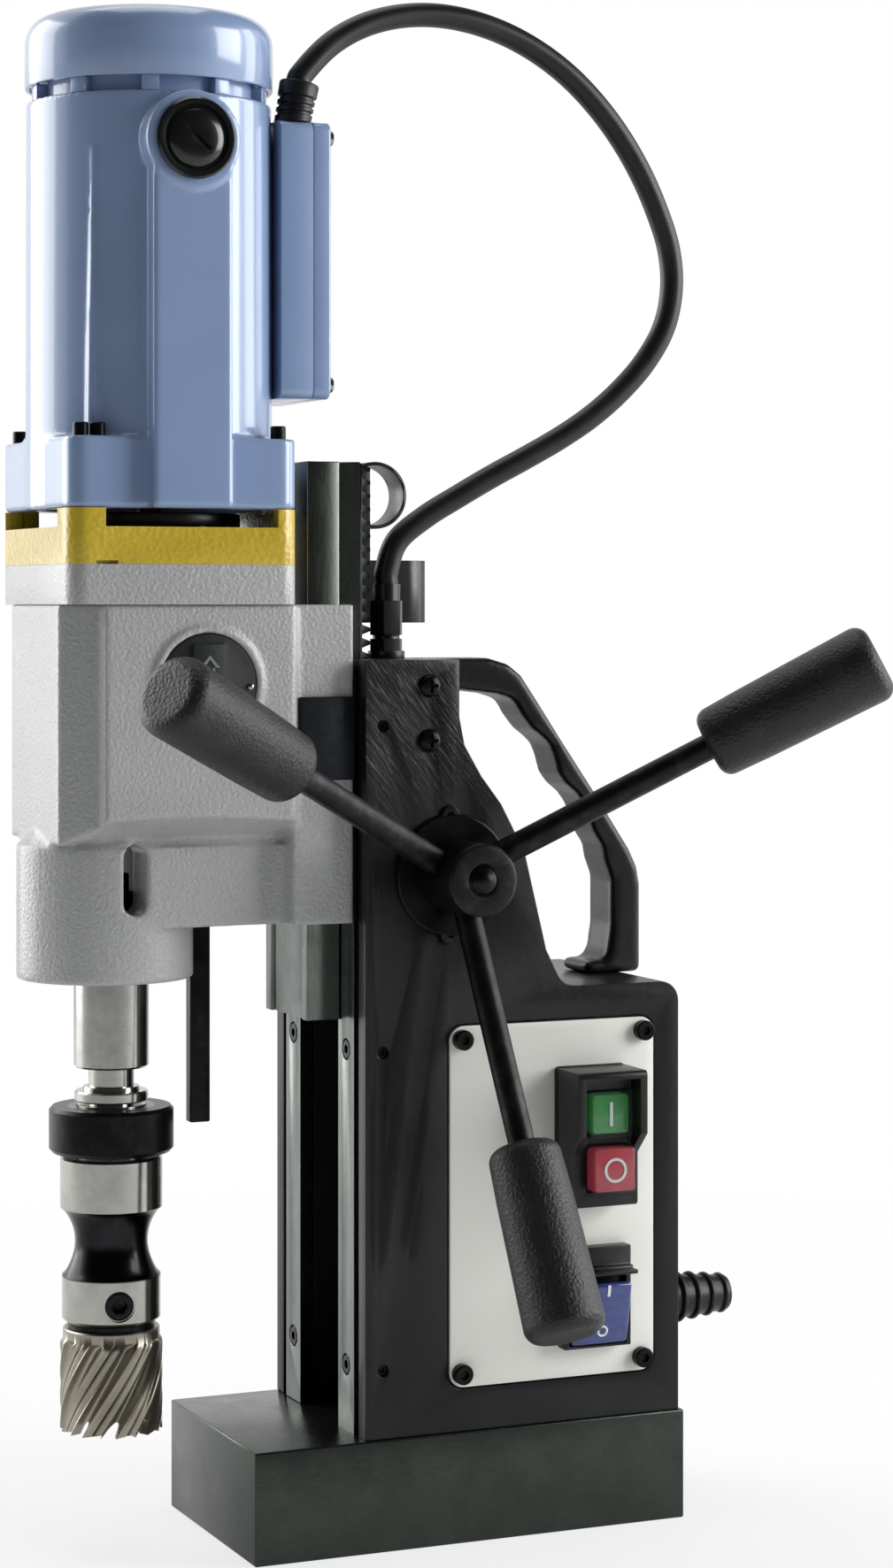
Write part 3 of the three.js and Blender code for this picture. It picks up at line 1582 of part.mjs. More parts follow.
function arborBody() {
  const { neckRadius, washerRadius, washer, washerGap, washerDrop } = arbor;
  const { top, radius, waistTop, waistRadius } = arbor;
  const shankTop = spindle.bottom + arbor.shankLength;
  const lean = (spindle.taperMouth - spindle.taperEnd) / spindle.taperLength;
  const shankRadius = (z) => spindle.taperMouth - (z - spindle.bottom) * lean - clearance;
  const upperWasher = spindle.bottom - washerDrop;
  const lowerWasher = upperWasher - washer - washerGap;
  const waist = waistShares.map(([down, inwards]) => [
    between(radius, waistRadius, inwards),
    between(waistTop, arbor.waistBottom, down),
  ]);
  const profile = [
    [0, shankTop],
    [shankRadius(shankTop), shankTop],
    [shankRadius(spindle.bottom), spindle.bottom],
    [neckRadius, spindle.bottom - clearance],
    [neckRadius, upperWasher],
    [washerRadius, upperWasher],
    [washerRadius, upperWasher - washer],
    [neckRadius, upperWasher - washer],
    [neckRadius, lowerWasher],
    [coolantRing.bore - clearance, lowerWasher],
    [coolantRing.bore - clearance, top],
    [radius - arbor.edge, top],
    [radius, top - arbor.edge],
    [radius, waistTop],
    ...waist,
    [arbor.lowerRadius, arbor.waistBottom],
    [arbor.lowerRadius, arbor.bottom + arbor.edge],
    [arbor.lowerRadius - arbor.edge, arbor.bottom],
    [cutter.shankRadius + clearance, arbor.bottom],
    [cutter.shankRadius + clearance, cutter.shankTop + clearance],
    [pilot.radius + clearance, cutter.shankTop + clearance],
    [pilot.radius + clearance, pilot.top + clearance],
    [0, pilot.top + clearance],
  ];
  const whole = turned('z', spindleAxis, profile);
  return cut(whole, radialCylinder(setScrew.radius + clearance, cutter.shankRadius, arbor.radius + overrun),
    radialCylinder(setScrew.recess, arbor.lowerRadius - setScrew.depth, arbor.radius + overrun));
}

// A cylinder that points out of the arbor at the set screw's angle
function radialCylinder(radius, from, to) {
  const geometry = new THREE.CylinderGeometry(radius, radius, to - from, smallSides);
  geometry.translate(0, (from + to) / 2, 0).rotateZ(-Math.PI / 2).rotateZ(radians(setScrew.degrees));
  return solid(geometry.translate(spindle.x, 0, setScrew.z));
}

function setScrewBody() {
  const inner = cutter.shankRadius + 2 * clearance;
  const outer = arbor.lowerRadius - setScrew.depth - clearance;
  const socket = radialCylinder(setScrew.socket, outer - setScrew.length / 3, outer + overrun);
  return cut(radialCylinder(setScrew.radius, inner, outer), socket);
}

function coolantRingBody() {
  const { radius, top, bottom, bore, chamfer } = coolantRing;
  const whole = turned('z', spindleAxis, [
    [bore, bottom],
    [radius - chamfer, bottom],
    [radius, bottom + chamfer],
    [radius, top - chamfer],
    [radius - chamfer, top],
    [bore, top],
    [bore, bottom],
  ]);
  const middle = (top + bottom) / 2;
  const nipple = new THREE.CylinderGeometry(coolantRing.nippleRadius, coolantRing.nippleRadius,
    coolantRing.nippleLength + coolantRing.chamfer, smallSides);
  nipple.translate(0, radius + (coolantRing.nippleLength - coolantRing.chamfer) / 2, 0);
  nipple.rotateZ(-Math.PI / 2).rotateZ(radians(coolantRing.nippleDegrees)).translate(spindle.x, 0, middle);
  return join(whole, solid(nipple));
}

function cutterBody() {
  const { radius, rootRadius, bore, top, bottom, collar, flutes, fluteShare, twistSteps } = cutter;
  const outline = [];
  for (let k = 0; k < flutes; k += 1) {
    const start = (2 * Math.PI * k) / flutes;
    const step = (2 * Math.PI) / flutes;
    const corners = [
      ...landShares.map((share) => [share * (1 - fluteShare), radius]),
      ...fluteEdgeShares.map((share) => [1 - share * fluteShare, rootRadius]),
    ];
    for (const [share, r] of corners) {
      outline.push([r * Math.cos(start + step * share), r * Math.sin(start + step * share)]);
    }
  }
  const length = top - collar - bottom;
  const geometry = extruded(outline, length, [], twistSteps);
  const positions = geometry.attributes.position;
  for (let i = 0; i < positions.count; i += 1) {
    const turn = radians(cutter.twistDegrees) * (positions.getZ(i) / length);
    const [x, y] = [positions.getX(i), positions.getY(i)];
    positions.setXY(i, x * Math.cos(turn) - y * Math.sin(turn), x * Math.sin(turn) + y * Math.cos(turn));
  }
  const fluted = solid(geometry.translate(spindle.x, 0, bottom));
  const neck = cylinder('z', spindleAxis, rootRadius, [top - collar, top], largeSides);
  const stop = cylinder('z', spindleAxis, cutter.ringRadius, [top - collar, arbor.bottom - clearance]);
  const shank = cylinder('z', spindleAxis, cutter.shankRadius, [top, cutter.shankTop]);
  const core = cylinder('z', spindleAxis, bore, [bottom - overrun, cutter.coreTop], mediumSides);
  const pilotHole = cylinder('z', spindleAxis, pilot.radius + clearance,
    [bottom, cutter.shankTop + overrun], smallSides);
  return cut(join(fluted, neck, stop, shank), core, pilotHole, ...cutterGullets());
}

// The gaps between the teeth at the cutter's mouth
function cutterGullets() {
  return Array.from({ length: cutter.flutes }, (_, k) => {
    const width = ((2 * Math.PI * cutter.radius) / cutter.flutes) * cutter.fluteShare;
    const depth = cutter.radius - cutter.bore + 2 * overrun;
    const geometry = new THREE.BoxGeometry(depth, width, 2 * cutter.toothDepth);
    geometry.rotateX(radians(cutter.gulletDegrees));
    geometry.translate((cutter.radius + cutter.bore) / 2, 0, cutter.bottom);
    geometry.rotateZ((2 * Math.PI * (k + 1 - cutter.fluteShare / 2)) / cutter.flutes);
    return solid(geometry.translate(spindle.x, 0, 0));
  });
}

function pilotPin() {
  return turned('z', spindleAxis, [
    [0, pilot.bottom],
    [pilot.radius, pilot.bottom + pilot.point],
    [pilot.radius, pilot.top],
    [0, pilot.top],
  ], smallSides);
}

// Fittings on the gearbox and the slide

function sidePlateBody() {
  return block(
    [sidePlate.front, sidePlate.back],
    [-rearBlock.halfWidth - sidePlate.thickness, -rearBlock.halfWidth],
    [sidePlate.bottom, sidePlate.top],
  );
}

function selectorKnob() {
  const face = -gearbox.halfWidth - selector.ringProud + selector.sunk;
  const disc = cylinder('y', [selector.x, selector.z], selector.discRadius,
    [face, face + selector.depth], largeSides);
  const bar = block([selector.x - selector.barHalfWidth, selector.x + selector.barHalfWidth],
    [face - selector.barProud, face + selector.depth / 2],
    [selector.z - selector.discRadius * domeShare, selector.z + selector.discRadius * domeShare]);
  return join(disc, bar);
}

function torqueBarBody() {
  const half = torqueBar.width / 2;
  return block([torqueBar.x - half, torqueBar.x + half], [-torqueBar.thickness / 2, torqueBar.thickness / 2],
    [torqueBar.bottom, gearbox.lowerBottom + torqueBar.seat]);
}

function hoseBracket() {
  const { front, thickness, bottom, legTop, gap, rear, riserFront, riserRear, riserTop } = bracket;
  const sideY = frameSide + gap;
  const legBottom = gearbox.top + gap;
  const leg = block([front, front + thickness], [slide.halfWidth, sideY + thickness], [legBottom, legTop]);
  const plate = block([front, rear], [sideY, sideY + thickness], [legBottom, legTop]);
  const tab = block([riserFront, rear], [sideY, sideY + thickness], [bottom, legTop]);
  const riser = block([riserFront, riserRear], [sideY, sideY + thickness], [bottom, riserTop]);
  const band = clipBand('y', [hoseClip.x, hoseClip.z], hoseClip, [sideY, sideY + hoseClip.width]);
  const cup = clipBand('z', [rear, sideY + bottleClip.radius], bottleClip, [bottom, legTop]);
  return join(leg, plate, tab, riser, band, cup);
}

// A spring clip: most of a ring, open on one side
function clipBand(axis, [u, v], { radius, thickness, openingDegrees, faceDegrees }, span) {
  const sweep = 360 - openingDegrees;
  const count = Math.round(sweep / (2 * arcStepDegrees));
  const arc = (r) => Array.from({ length: count + 1 }, (_, k) => {
    const turn = radians(faceDegrees - sweep / 2 + (sweep * k) / count);
    return [u + r * Math.cos(turn), v + r * Math.sin(turn)];
  });
  const points = [...arc(radius), ...arc(radius - thickness).reverse()];
  return axis === 'z' ? prismZ(points, span) : prismY(points, span);
}

// The gland and the cable

function hexagon([x, y], radius) {
  return Array.from({ length: 6 }, (_, k) => [
    x + radius * Math.cos((Math.PI * k) / 3),
    y + radius * Math.sin((Math.PI * k) / 3),
  ]);
}

function cableGland() {
  const centre = [gland.x, 0];
  const washerPlate = cylinder('z', centre, gland.radius + gland.washerLip,
    [frame.top, frame.top + gland.washer], mediumSides);
  const hex = prismZ(hexagon(centre, gland.radius), [frame.top + gland.washer, gland.hexTop]);
  const stem = cylinder('z', centre, gland.threadRadius,
    [frame.top - gland.threadDepth, gland.nutTop - gland.crown - clearance], mediumSides);
  const bore = cylinder('z', centre, cable.radius, [frame.top - gland.radius, gland.domeTop], smallSides);
  return cut(join(washerPlate, hex, stem), bore);
}

function glandNut() {
  const centre = [gland.x, 0];
  const hex = prismZ(hexagon(centre, gland.radius), [gland.nutBottom, gland.nutTop]);
  const dome = cylinder('z', centre, gland.radius * domeShare,
    [gland.nutTop, gland.domeTop], mediumSides, gland.domeRadius);
  const bore = cylinder('z', centre, gland.threadRadius + clearance,
    [gland.nutBottom - overrun, gland.nutTop - gland.crown], mediumSides);
  const mouth = cylinder('z', centre, cable.radius,
    [gland.nutTop - gland.crown - overrun, gland.domeTop + overrun], smallSides);
  return cut(join(hex, dome), bore, mouth);
}

function motorCable() {
  const points = cableRoute.map((point) => new THREE.Vector3(...point));
  const path = new THREE.CatmullRomCurve3(points, false, 'centripetal');
  const section = new THREE.Shape(Array.from({ length: cable.sides }, (_, k) => {
    const turn = (2 * Math.PI * k) / cable.sides;
    return new THREE.Vector2(cable.radius * Math.cos(turn), cable.radius * Math.sin(turn));
  }));
  const settings = { steps: cable.steps, extrudePath: path, bevelEnabled: false };
  return solid(new THREE.ExtrudeGeometry(section, settings));
}

// The assembly

const base = new THREE.Group();
base.add(
  meshOf('magnet_body', magnetBody(), looks.magnetSteel),
  meshOf('magnet_coil', coilRing(magnet.coilTop, clearance), looks.copper),
  meshOf('frame_casting', frameCasting(), looks.castPaint),
  meshOf('carry_handle', carryHandle(), looks.castPaint),
  meshOf('handle_screw_upper', handleScrewBody(handleScrew.heights[0]), looks.darkSteel),
  meshOf('handle_screw_lower', handleScrewBody(handleScrew.heights[1]), looks.darkSteel),
  meshOf('control_panel', controlPanel(), looks.panelPaint),
  meshOf('motor_switch_housing', motorSwitchHousing(), looks.blackPlastic),
  meshOf('magnet_switch_bezel', magnetSwitchBezel(), looks.blackPlastic),
  meshOf('rail_near', guideRail(-1), looks.groundSteel),
  meshOf('rail_far', guideRail(1), looks.groundSteel),
  meshOf('cord_boot', cordBoot(), looks.rubber),
  meshOf('cable_gland', cableGland(), looks.blackPlastic),
  meshOf('gland_nut', glandNut(), looks.blackPlastic),
  meshOf('feed_flange', feedFlange(), looks.castPaint),
  meshOf('shaft_bush', shaftBush(), looks.copper),
  meshOf('circuit_board', circuitBoard(), looks.circuit),
);

const switches = new THREE.Group();
switches.add(
  meshOf('start_button', startButton(0, 0), looks.green),
  meshOf('stop_button', stopButton(0, 0), looks.red),
  meshOf('magnet_rocker', magnetRocker(), looks.blue),
);

const feedWheel = new THREE.Group();
feedWheel.add(
  meshOf('feed_shaft', feedShaft(), looks.groundSteel),
  meshOf('feed_hub', feedHub(), looks.darkSteel),
  meshOf('hub_cap', hubCap(), looks.brightSteel),
);
spoke.angles.forEach((angle, k) => feedWheel.add(
  meshOf(`feed_rod_${k + 1}`, spokeRod(angle), looks.darkSteel),
  meshOf(`feed_grip_${k + 1}`, spokeGrip(angle), looks.rubber),
));

const carriage = new THREE.Group();
carriage.add(
  meshOf('slide_bar', slideBar(), looks.groundSteel),
  meshOf('rack', rackBar(), looks.groundSteel),
  meshOf('gearbox_housing', gearboxHousing(), looks.greyPaint),
  meshOf('gearbox_lid', gearboxLid(), looks.greyPaint),
  meshOf('fan_ring', fanRingBody(), looks.yellowPaint),
  meshOf('motor_housing', motorHousing(), looks.bluePaint),
  meshOf('motor_cap', motorCapBody(), looks.bluePaint),
  meshOf('brush_cap_near', brushCapBody(-1), looks.blackPlastic),
  meshOf('brush_cap_far', brushCapBody(1), looks.blackPlastic),
  meshOf('stator', statorBody(), looks.laminate),
  meshOf('terminal_box', terminalBox(), looks.bluePaint),
  meshOf('terminal_cover', terminalCover(), looks.bluePaint),
  meshOf('cable_relief', cableRelief(), looks.blackPlastic),
  meshOf('motor_cable', motorCable(), looks.rubber),
  meshOf('lower_bearing', lowerBearing(), looks.brightSteel),
  meshOf('upper_bearing', upperBearing(), looks.brightSteel),
  meshOf('side_plate', sidePlateBody(), looks.darkSteel),
  meshOf('torque_bar', torqueBarBody(), looks.darkSteel),
  meshOf('hose_bracket', hoseBracket(), looks.darkSteel),
  meshOf('selector_knob', selectorKnob(), looks.blackPlastic),
);

const driveTrain = new THREE.Group();
driveTrain.add(
  meshOf('armature', armatureBody(), looks.laminate),
  meshOf('cooling_fan', coolingFan(), looks.blackPlastic),
  meshOf('idler_gear', idlerGear(), looks.groundSteel),
  meshOf('spindle', spindleBody(), looks.brightSteel),
  meshOf('spindle_gear', spindleGear(), looks.groundSteel),
  meshOf('arbor', arborBody(), looks.brightSteel),
  meshOf('cutter', cutterBody(), looks.cutterSteel),
  meshOf('pilot_pin', pilotPin(), looks.brightSteel),
  meshOf('set_screw', setScrewBody(), looks.darkSteel),
  meshOf('coolant_ring', coolantRingBody(), looks.darkSteel),
);

const drill = new THREE.Group();
drill.add(base, switches, feedWheel, carriage, driveTrain);
export default drill;
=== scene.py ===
import math

import bmesh
import bpy
from mathutils import Matrix, Vector


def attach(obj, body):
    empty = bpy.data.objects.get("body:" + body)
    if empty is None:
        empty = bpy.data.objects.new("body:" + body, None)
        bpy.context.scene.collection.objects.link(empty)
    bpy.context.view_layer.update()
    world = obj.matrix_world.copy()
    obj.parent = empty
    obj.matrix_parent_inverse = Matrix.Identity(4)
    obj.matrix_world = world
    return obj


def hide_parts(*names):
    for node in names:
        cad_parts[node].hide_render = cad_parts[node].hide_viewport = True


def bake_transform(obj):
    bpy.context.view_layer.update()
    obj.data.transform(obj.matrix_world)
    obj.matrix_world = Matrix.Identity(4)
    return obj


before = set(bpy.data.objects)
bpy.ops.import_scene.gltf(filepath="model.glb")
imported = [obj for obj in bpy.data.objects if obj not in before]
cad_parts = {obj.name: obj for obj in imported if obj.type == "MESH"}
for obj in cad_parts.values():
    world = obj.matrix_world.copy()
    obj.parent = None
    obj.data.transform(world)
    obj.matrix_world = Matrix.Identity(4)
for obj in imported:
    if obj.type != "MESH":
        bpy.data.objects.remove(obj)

bl_info = {
    "name": "Magnetic Core Drill",
    "version": (1, 0, 0),
    "blender": (4, 5, 0),
    "location": "View3D > Sidebar > Core Drill",
    "description": "Dresses the packed model of a magnetic core drill with detailed pieces and finishes",
    "category": "Object",
}

# Sizes are in millimetres, in the frame of the packed model, and become metres when a mesh is made.
MM = 0.001
ROUND_SIDES = 96
ARC_STEP = 7.5

# The main places of the drill, as its source gives them: heights, and axes given across their direction
HEAD_X = (-170.0, -74.5)
HEAD_HALF_WIDTH = 47.7
HEAD_RADIUS = 8.0
GEARBOX_BOTTOM, GEARBOX_TOP = 251.6, 379.8
LID_TOP = 395.6
SHROUD_TOP = 417.5
FLANGE_TOP = 445.6
MOTOR_TOP = 581.1
MOTOR_AXIS = (-121.8, 0.0)
MOTOR_RADIUS = 49.8
BRUSH_AXIS = (-121.8, 561.6)
IDLER_AXIS = (-115.456, 20.019)
NOSE_AXIS = (-140.5, 0.0)
NOSE_RADIUS = 35.4
NOSE_BOTTOM = 230.0
SPINDLE_AXIS = (-137.8, 0.0)
SELECTOR_AXIS = (-112.8, 348.4)
FEED_AXIS = (-10.1, 270.6)
BOOT_AXIS = (-23.0, 86.0)
SWITCH_X = 53.1
PANEL_FACE = -50.6
CASTING_FACE = -50.0
SPOKE_ANGLES = (31.0, 153.0, 273.0)
SPOKE_TILT = 26.0
SPOKE_ROOT = 56.9


# Shapes

def new_object(name, data):
    """Links a mesh, a lamp or a camera to the scene under its name."""
    made = bpy.data.objects.new(name, data)
    bpy.context.scene.collection.objects.link(made)
    return made


def from_faces(name, points, faces):
    """Makes an object from points in millimetres and turns its faces outwards."""
    mesh = bpy.data.meshes.new(name)
    mesh.from_pydata([Vector(point) * MM for point in points], [], faces)
    work = bmesh.new()
    work.from_mesh(mesh)
    bmesh.ops.remove_doubles(work, verts=work.verts, dist=0.0005 * MM)
    bmesh.ops.recalc_face_normals(work, faces=work.faces)
    work.to_mesh(mesh)
    work.free()
    return new_object(name, mesh)


def on_axis(axis, u, v, height):
    """A point given across an axis and along it."""
    return {"x": (height, u, v), "y": (u, height, v), "z": (u, v, height)}[axis]


def turned(name, axis, centre, profile, sides):
    """Turns a profile of radii and heights about an axis. One that starts off the axis closes on itself."""
    points, rings = [], []
    for radius, height in profile:
        count = sides if radius > 0 else 1
        rings.append(range(len(points), len(points) + count))
        for k in range(count):
            turn = 2 * math.pi * k / sides
            across = (centre[0] + radius * math.cos(turn), centre[1] + radius * math.sin(turn))
            points.append(on_axis(axis, *across, height))
    pairs = list(zip(rings, rings[1:]))
    if profile[0][0] > 0 and profile[0] != profile[-1]:
        pairs.append((rings[-1], rings[0]))
    faces = []
    for low, high in pairs:
        for k in range(sides):
            after = (k + 1) % sides
            if len(low) == 1 and len(high) > 1:
                faces.append((low[0], high[k], high[after]))
            elif len(high) == 1 and len(low) > 1:
                faces.append((low[k], low[after], high[0]))
            elif len(low) > 1:
                faces.append((low[k], low[after], high[after], high[k]))
    return from_faces(name, points, faces)


def prism(name, axis, outline, span):
    """An outline pushed out along an axis, from one height to another."""
    count = len(outline)
    points = [on_axis(axis, u, v, height) for height in span for u, v in outline]
    sides = [(k, (k + 1) % count, (k + 1) % count + count, k + count) for k in range(count)]
    return from_faces(name, points, [tuple(range(count)), tuple(range(count, 2 * count)), *sides])


def loft(name, rings):
    """A solid through rings of equally many points, closed at both ends."""
    count = len(rings[0])
    points = [point for ring in rings for point in ring]
    faces = [tuple(range(count)), tuple(range(len(points) - count, len(points)))]
    for start in range(0, len(points) - count, count):
        for k in range(count):
            after = (k + 1) % count
            faces.append((start + k, start + after, start + count + after, start + count + k))
    return from_faces(name, points, faces)


def block(name, x, y, z):
    """A box between its limits."""
    return prism(name, "z", rectangle(x, y), z)


def rod(name, axis, centre, radius, span, sides=ROUND_SIDES, end_radius=None):
    """A plain round bar or cone, as a tool for cutting or joining."""
    last = radius if end_radius is None else end_radius
    return turned(name, axis, centre, [(0, span[0]), (radius, span[0]), (last, span[1]), (0, span[1])], sides)


def rectangle(u, v):
    """The outline of a rectangle between its limits."""
    return [(u[0], v[0]), (u[1], v[0]), (u[1], v[1]), (u[0], v[1])]


def rounded(points, radii):
    """Rounds the corners of an outline with arcs."""
    result = []
    count = len(points)
    for i, point in enumerate(points):
        radius = radii[i] if isinstance(radii, (list, tuple)) else radii
        here = Vector(point)
        before = Vector(points[i - 1]) - here
        after = Vector(points[(i + 1) % count]) - here
        angle = before.angle(after)
        reach = min(radius / math.tan(angle / 2), before.length / 2, after.length / 2)
        if reach < 0.001:
            result.append(tuple(point))
            continue
        arc = reach * math.tan(angle / 2)
        middle = (before.normalized() + after.normalized()).normalized()
        centre = here + middle * math.hypot(reach, arc)
        start = here + before.normalized() * reach - centre
        end = here + after.normalized() * reach - centre
        first = math.atan2(start.y, start.x)
        sweep = (math.atan2(end.y, end.x) - first + math.pi) % (2 * math.pi) - math.pi
        steps = max(2, round(abs(math.degrees(sweep)) / ARC_STEP))
        for k in range(steps + 1):
            turn = first + sweep * k / steps
            result.append((centre.x + arc * math.cos(turn), centre.y + arc * math.sin(turn)))
    return result


def rounded_plate(centre, half_u, half_v, radius):
    """The outline of a rounded rectangle about its centre."""
    u, v = centre
    return rounded(rectangle((u - half_u, u + half_u), (v - half_v, v + half_v)), radius)


def mirrored(side, near, far):
    """Two distances from the middle plane, put on one side of it and in rising order."""
    return tuple(sorted((side * near, side * far)))


def smooth_line(points, steps):
    """A smooth curve through the points of a line."""
    places = [Vector(point) for point in points]
    places = [places[0] * 2 - places[1], *places, places[-1] * 2 - places[-2]]
    result = []
    for before, start, end, after in zip(places, places[1:], places[2:], places[3:]):
        for k in range(steps):
            t = k / steps
            part = (2 * start + (end - before) * t + (2 * before - 5 * start + 4 * end - after) * t * t
                    + (3 * start - before - 3 * end + after) * t * t * t)
            result.append(tuple(part / 2))
    return [*result, tuple(places[-2])]


def quarter(radius, end, edge, direction, steps):
    """The rounded end of a turned profile, from its side to its face."""
    turns = [math.pi / 2 * k / steps for k in range(steps + 1)]
    return [(radius - edge + edge * math.cos(turn), end - direction * edge * (1 - math.sin(turn)))
            for turn in turns]


def bake(made):
    """Replaces an object's mesh by what its modifiers make of it."""
    graph = bpy.context.evaluated_depsgraph_get()
    mesh = bpy.data.meshes.new_from_object(made.evaluated_get(graph), depsgraph=graph)
    made.modifiers.clear()
    made.data = mesh
    mesh.name = made.name
    return made


def combined(made, others, operation):
    """Joins the others to an object or cuts them from it."""
    for other in others:
        step = made.modifiers.new("step", "BOOLEAN")
        step.operation = operation
        step.solver = "MANIFOLD"
        step.object = other
    bake(made)
    for other in others:
        bpy.data.objects.remove(other)
    return made


def joined(made, *others):
    """Joins other pieces to an object and uses them up."""
    return combined(made, others, "UNION")


def cut(made, *others):
    """Cuts other pieces from an object and uses them up."""
    return combined(made, others, "DIFFERENCE")


def cast(made, voxel, passes):
    """Gives an object the soft edges and fillets of a casting."""
    step = made.modifiers.new("cast", "REMESH")
    step.mode = "VOXEL"
    step.voxel_size = voxel * MM
    step.adaptivity = 0
    ease = made.modifiers.new("ease", "SMOOTH")
    ease.factor = 0.5
    ease.iterations = passes
    return bake(made)


def edged(made, width, segments, angle=32):
    """Rounds the sharp edges of an object."""
    step = made.modifiers.new("edge", "BEVEL")
    step.width = width * MM
    step.segments = segments
    step.limit_method = "ANGLE"
    step.angle_limit = math.radians(angle)
    step.use_clamp_overlap = True
    return bake(made)


def cad_copy(name, node):
    """A merged copy of a packed node, with flat faces joined up again."""
    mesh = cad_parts[node].data.copy()
    mesh.materials.clear()
    work = bmesh.new()
    work.from_mesh(mesh)
    bmesh.ops.remove_doubles(work, verts=work.verts, dist=0.002 * MM)
    bmesh.ops.dissolve_limit(
        work, angle_limit=math.radians(0.4), verts=work.verts, edges=work.edges)
    work.to_mesh(mesh)
    work.free()
    return new_object(name, mesh)


def finished(made, body, finish, replaces=(), angle=35):
    """Gives a piece its finish, the body that it rides on and the nodes that it stands for."""
    made.data.shade_smooth()
    made.data.set_sharp_from_angle(angle=math.radians(angle))
    if finish is not None:
        made.data.materials.clear()
        made.data.materials.append(finish_named(finish))
    if replaces:
        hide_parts(*replaces)
    if body is not None:
        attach(made, body)
    return made


def dressed_copy(name, node, body, finish, edge, segments, edge_angle=32, angle=30):
    """A packed node's own shape with its edges rounded, in place of that node."""
    finished(edged(cad_copy(name, node), edge, segments, edge_angle), body, finish, [node], angle)


# Node trees

class Value:
    """A socket of a node tree, with Python's operators for its maths."""

    def __init__(self, nodes, socket):
        self.nodes = nodes
        self.socket = socket

    def math(self, operation, *values):
        return self.nodes.node("ShaderNodeMath", {"operation": operation}, values)

    def __add__(self, other):
        return self.math("ADD", self, other)

    def __sub__(self, other):
        return self.math("SUBTRACT", self, other)

    def __rsub__(self, other):
        return self.math("SUBTRACT", other, self)

    def __mul__(self, other):
        return self.math("MULTIPLY", self, other)

    __radd__ = __add__
    __rmul__ = __mul__

    def clamped(self):
        return self.nodes.node("ShaderNodeClamp", {}, [self, 0.0, 1.0])


class Nodes:
    """A node tree, with one method that adds any node to it."""

    def __init__(self, tree):
        self.tree = tree

    def node(self, kind, settings, inputs, output=0):
        """Adds a node: its settings first, then the values or links of its sockets."""
        made = self.tree.nodes.new(kind)
        for key, value in settings.items():
            setattr(made, key, value)
        pairs = inputs.items() if isinstance(inputs, dict) else enumerate(inputs)
        for key, value in pairs:
            links = value if isinstance(value, list) else [value]
            for link in links:
                if isinstance(link, Value):
                    self.tree.links.new(link.socket, made.inputs[key])
                else:
                    made.inputs[key].default_value = link
        return Value(self, made.outputs[output])

    def ray(self, kind):
        """One for the rays of this kind, and nothing for the others."""
        return self.node("ShaderNodeLightPath", {}, {}, f"Is {kind} Ray")

    def vectors(self, operation, first, second, output=0):
        """Maths on two vectors."""
        return self.node("ShaderNodeVectorMath", {"operation": operation}, [first, second], output)


class Finish(Nodes):
    """A material and the nodes that give its surface."""

    def __init__(self, name, **constants):
        self.material = bpy.data.materials.new(name)
        self.material.use_nodes = True
        super().__init__(self.material.node_tree)
        self.surface = self.tree.nodes["Principled BSDF"]
        for socket, value in constants.items():
            self.surface.inputs[socket.replace("_", " ")].default_value = value

    def place(self, stretch=(1.0, 1.0, 1.0), turn=(0.0, 0.0, 0.0)):
        """Object coordinates, turned and then stretched for a pattern."""
        where = self.node("ShaderNodeTexCoord", {}, {}, "Object")
        turned_to = self.node("ShaderNodeMapping", {}, {"Vector": where, "Rotation": turn})
        return self.node("ShaderNodeMapping", {}, {"Vector": turned_to, "Scale": stretch})

    def noise(self, size, detail=3.0, roughness=0.5, stretch=(1.0, 1.0, 1.0), turn=(0.0, 0.0, 0.0)):
        """Noise whose features are about as large as the size, in millimetres."""
        return self.node("ShaderNodeTexNoise", {}, {
            "Vector": self.place(stretch, turn), "Scale": 1 / (size * MM),
            "Detail": detail, "Roughness": roughness})

    def cells(self, size, feature="F1", **inputs):
        """Round cells about as large as the size, in millimetres."""
        return self.node("ShaderNodeTexVoronoi", {"feature": feature}, {
            "Vector": self.place(), "Scale": 1 / (size * MM), **inputs})

    def ridges(self, pitch, distortion):
        """Level ridges, each as high as the pitch, in millimetres."""
        return self.node("ShaderNodeTexWave", {"bands_direction": "Z"}, {
            "Vector": self.place(), "Scale": 1 / (pitch * MM) / 6.28, "Distortion": distortion})

    def axis(self, name):
        """One of the object coordinates, in metres."""
        where = self.node("ShaderNodeTexCoord", {}, {}, "Object")
        return self.node("ShaderNodeSeparateXYZ", {}, [where], name)

    def between(self, value, low, high):
        """Spreads a value from 0 to 1 between two limits."""
        return self.node("ShaderNodeMapRange", {"clamp": True}, [value, low, high, 0.0, 1.0])

    def mixed(self, share, first, second):
        return self.node("ShaderNodeMix", {"data_type": "RGBA"}, {0: share, 6: first, 7: second}, 2)

    def bump(self, height, distance):
        """A bump whose full height is the distance, in millimetres."""
        return self.node("ShaderNodeBump", {}, {"Height": height, "Distance": distance * MM})

    def set(self, **values):
        """Links the worked-out values to the surface."""
        for socket, value in values.items():
            self.tree.links.new(value.socket, self.surface.inputs[socket.replace("_", " ")])
        return self.material


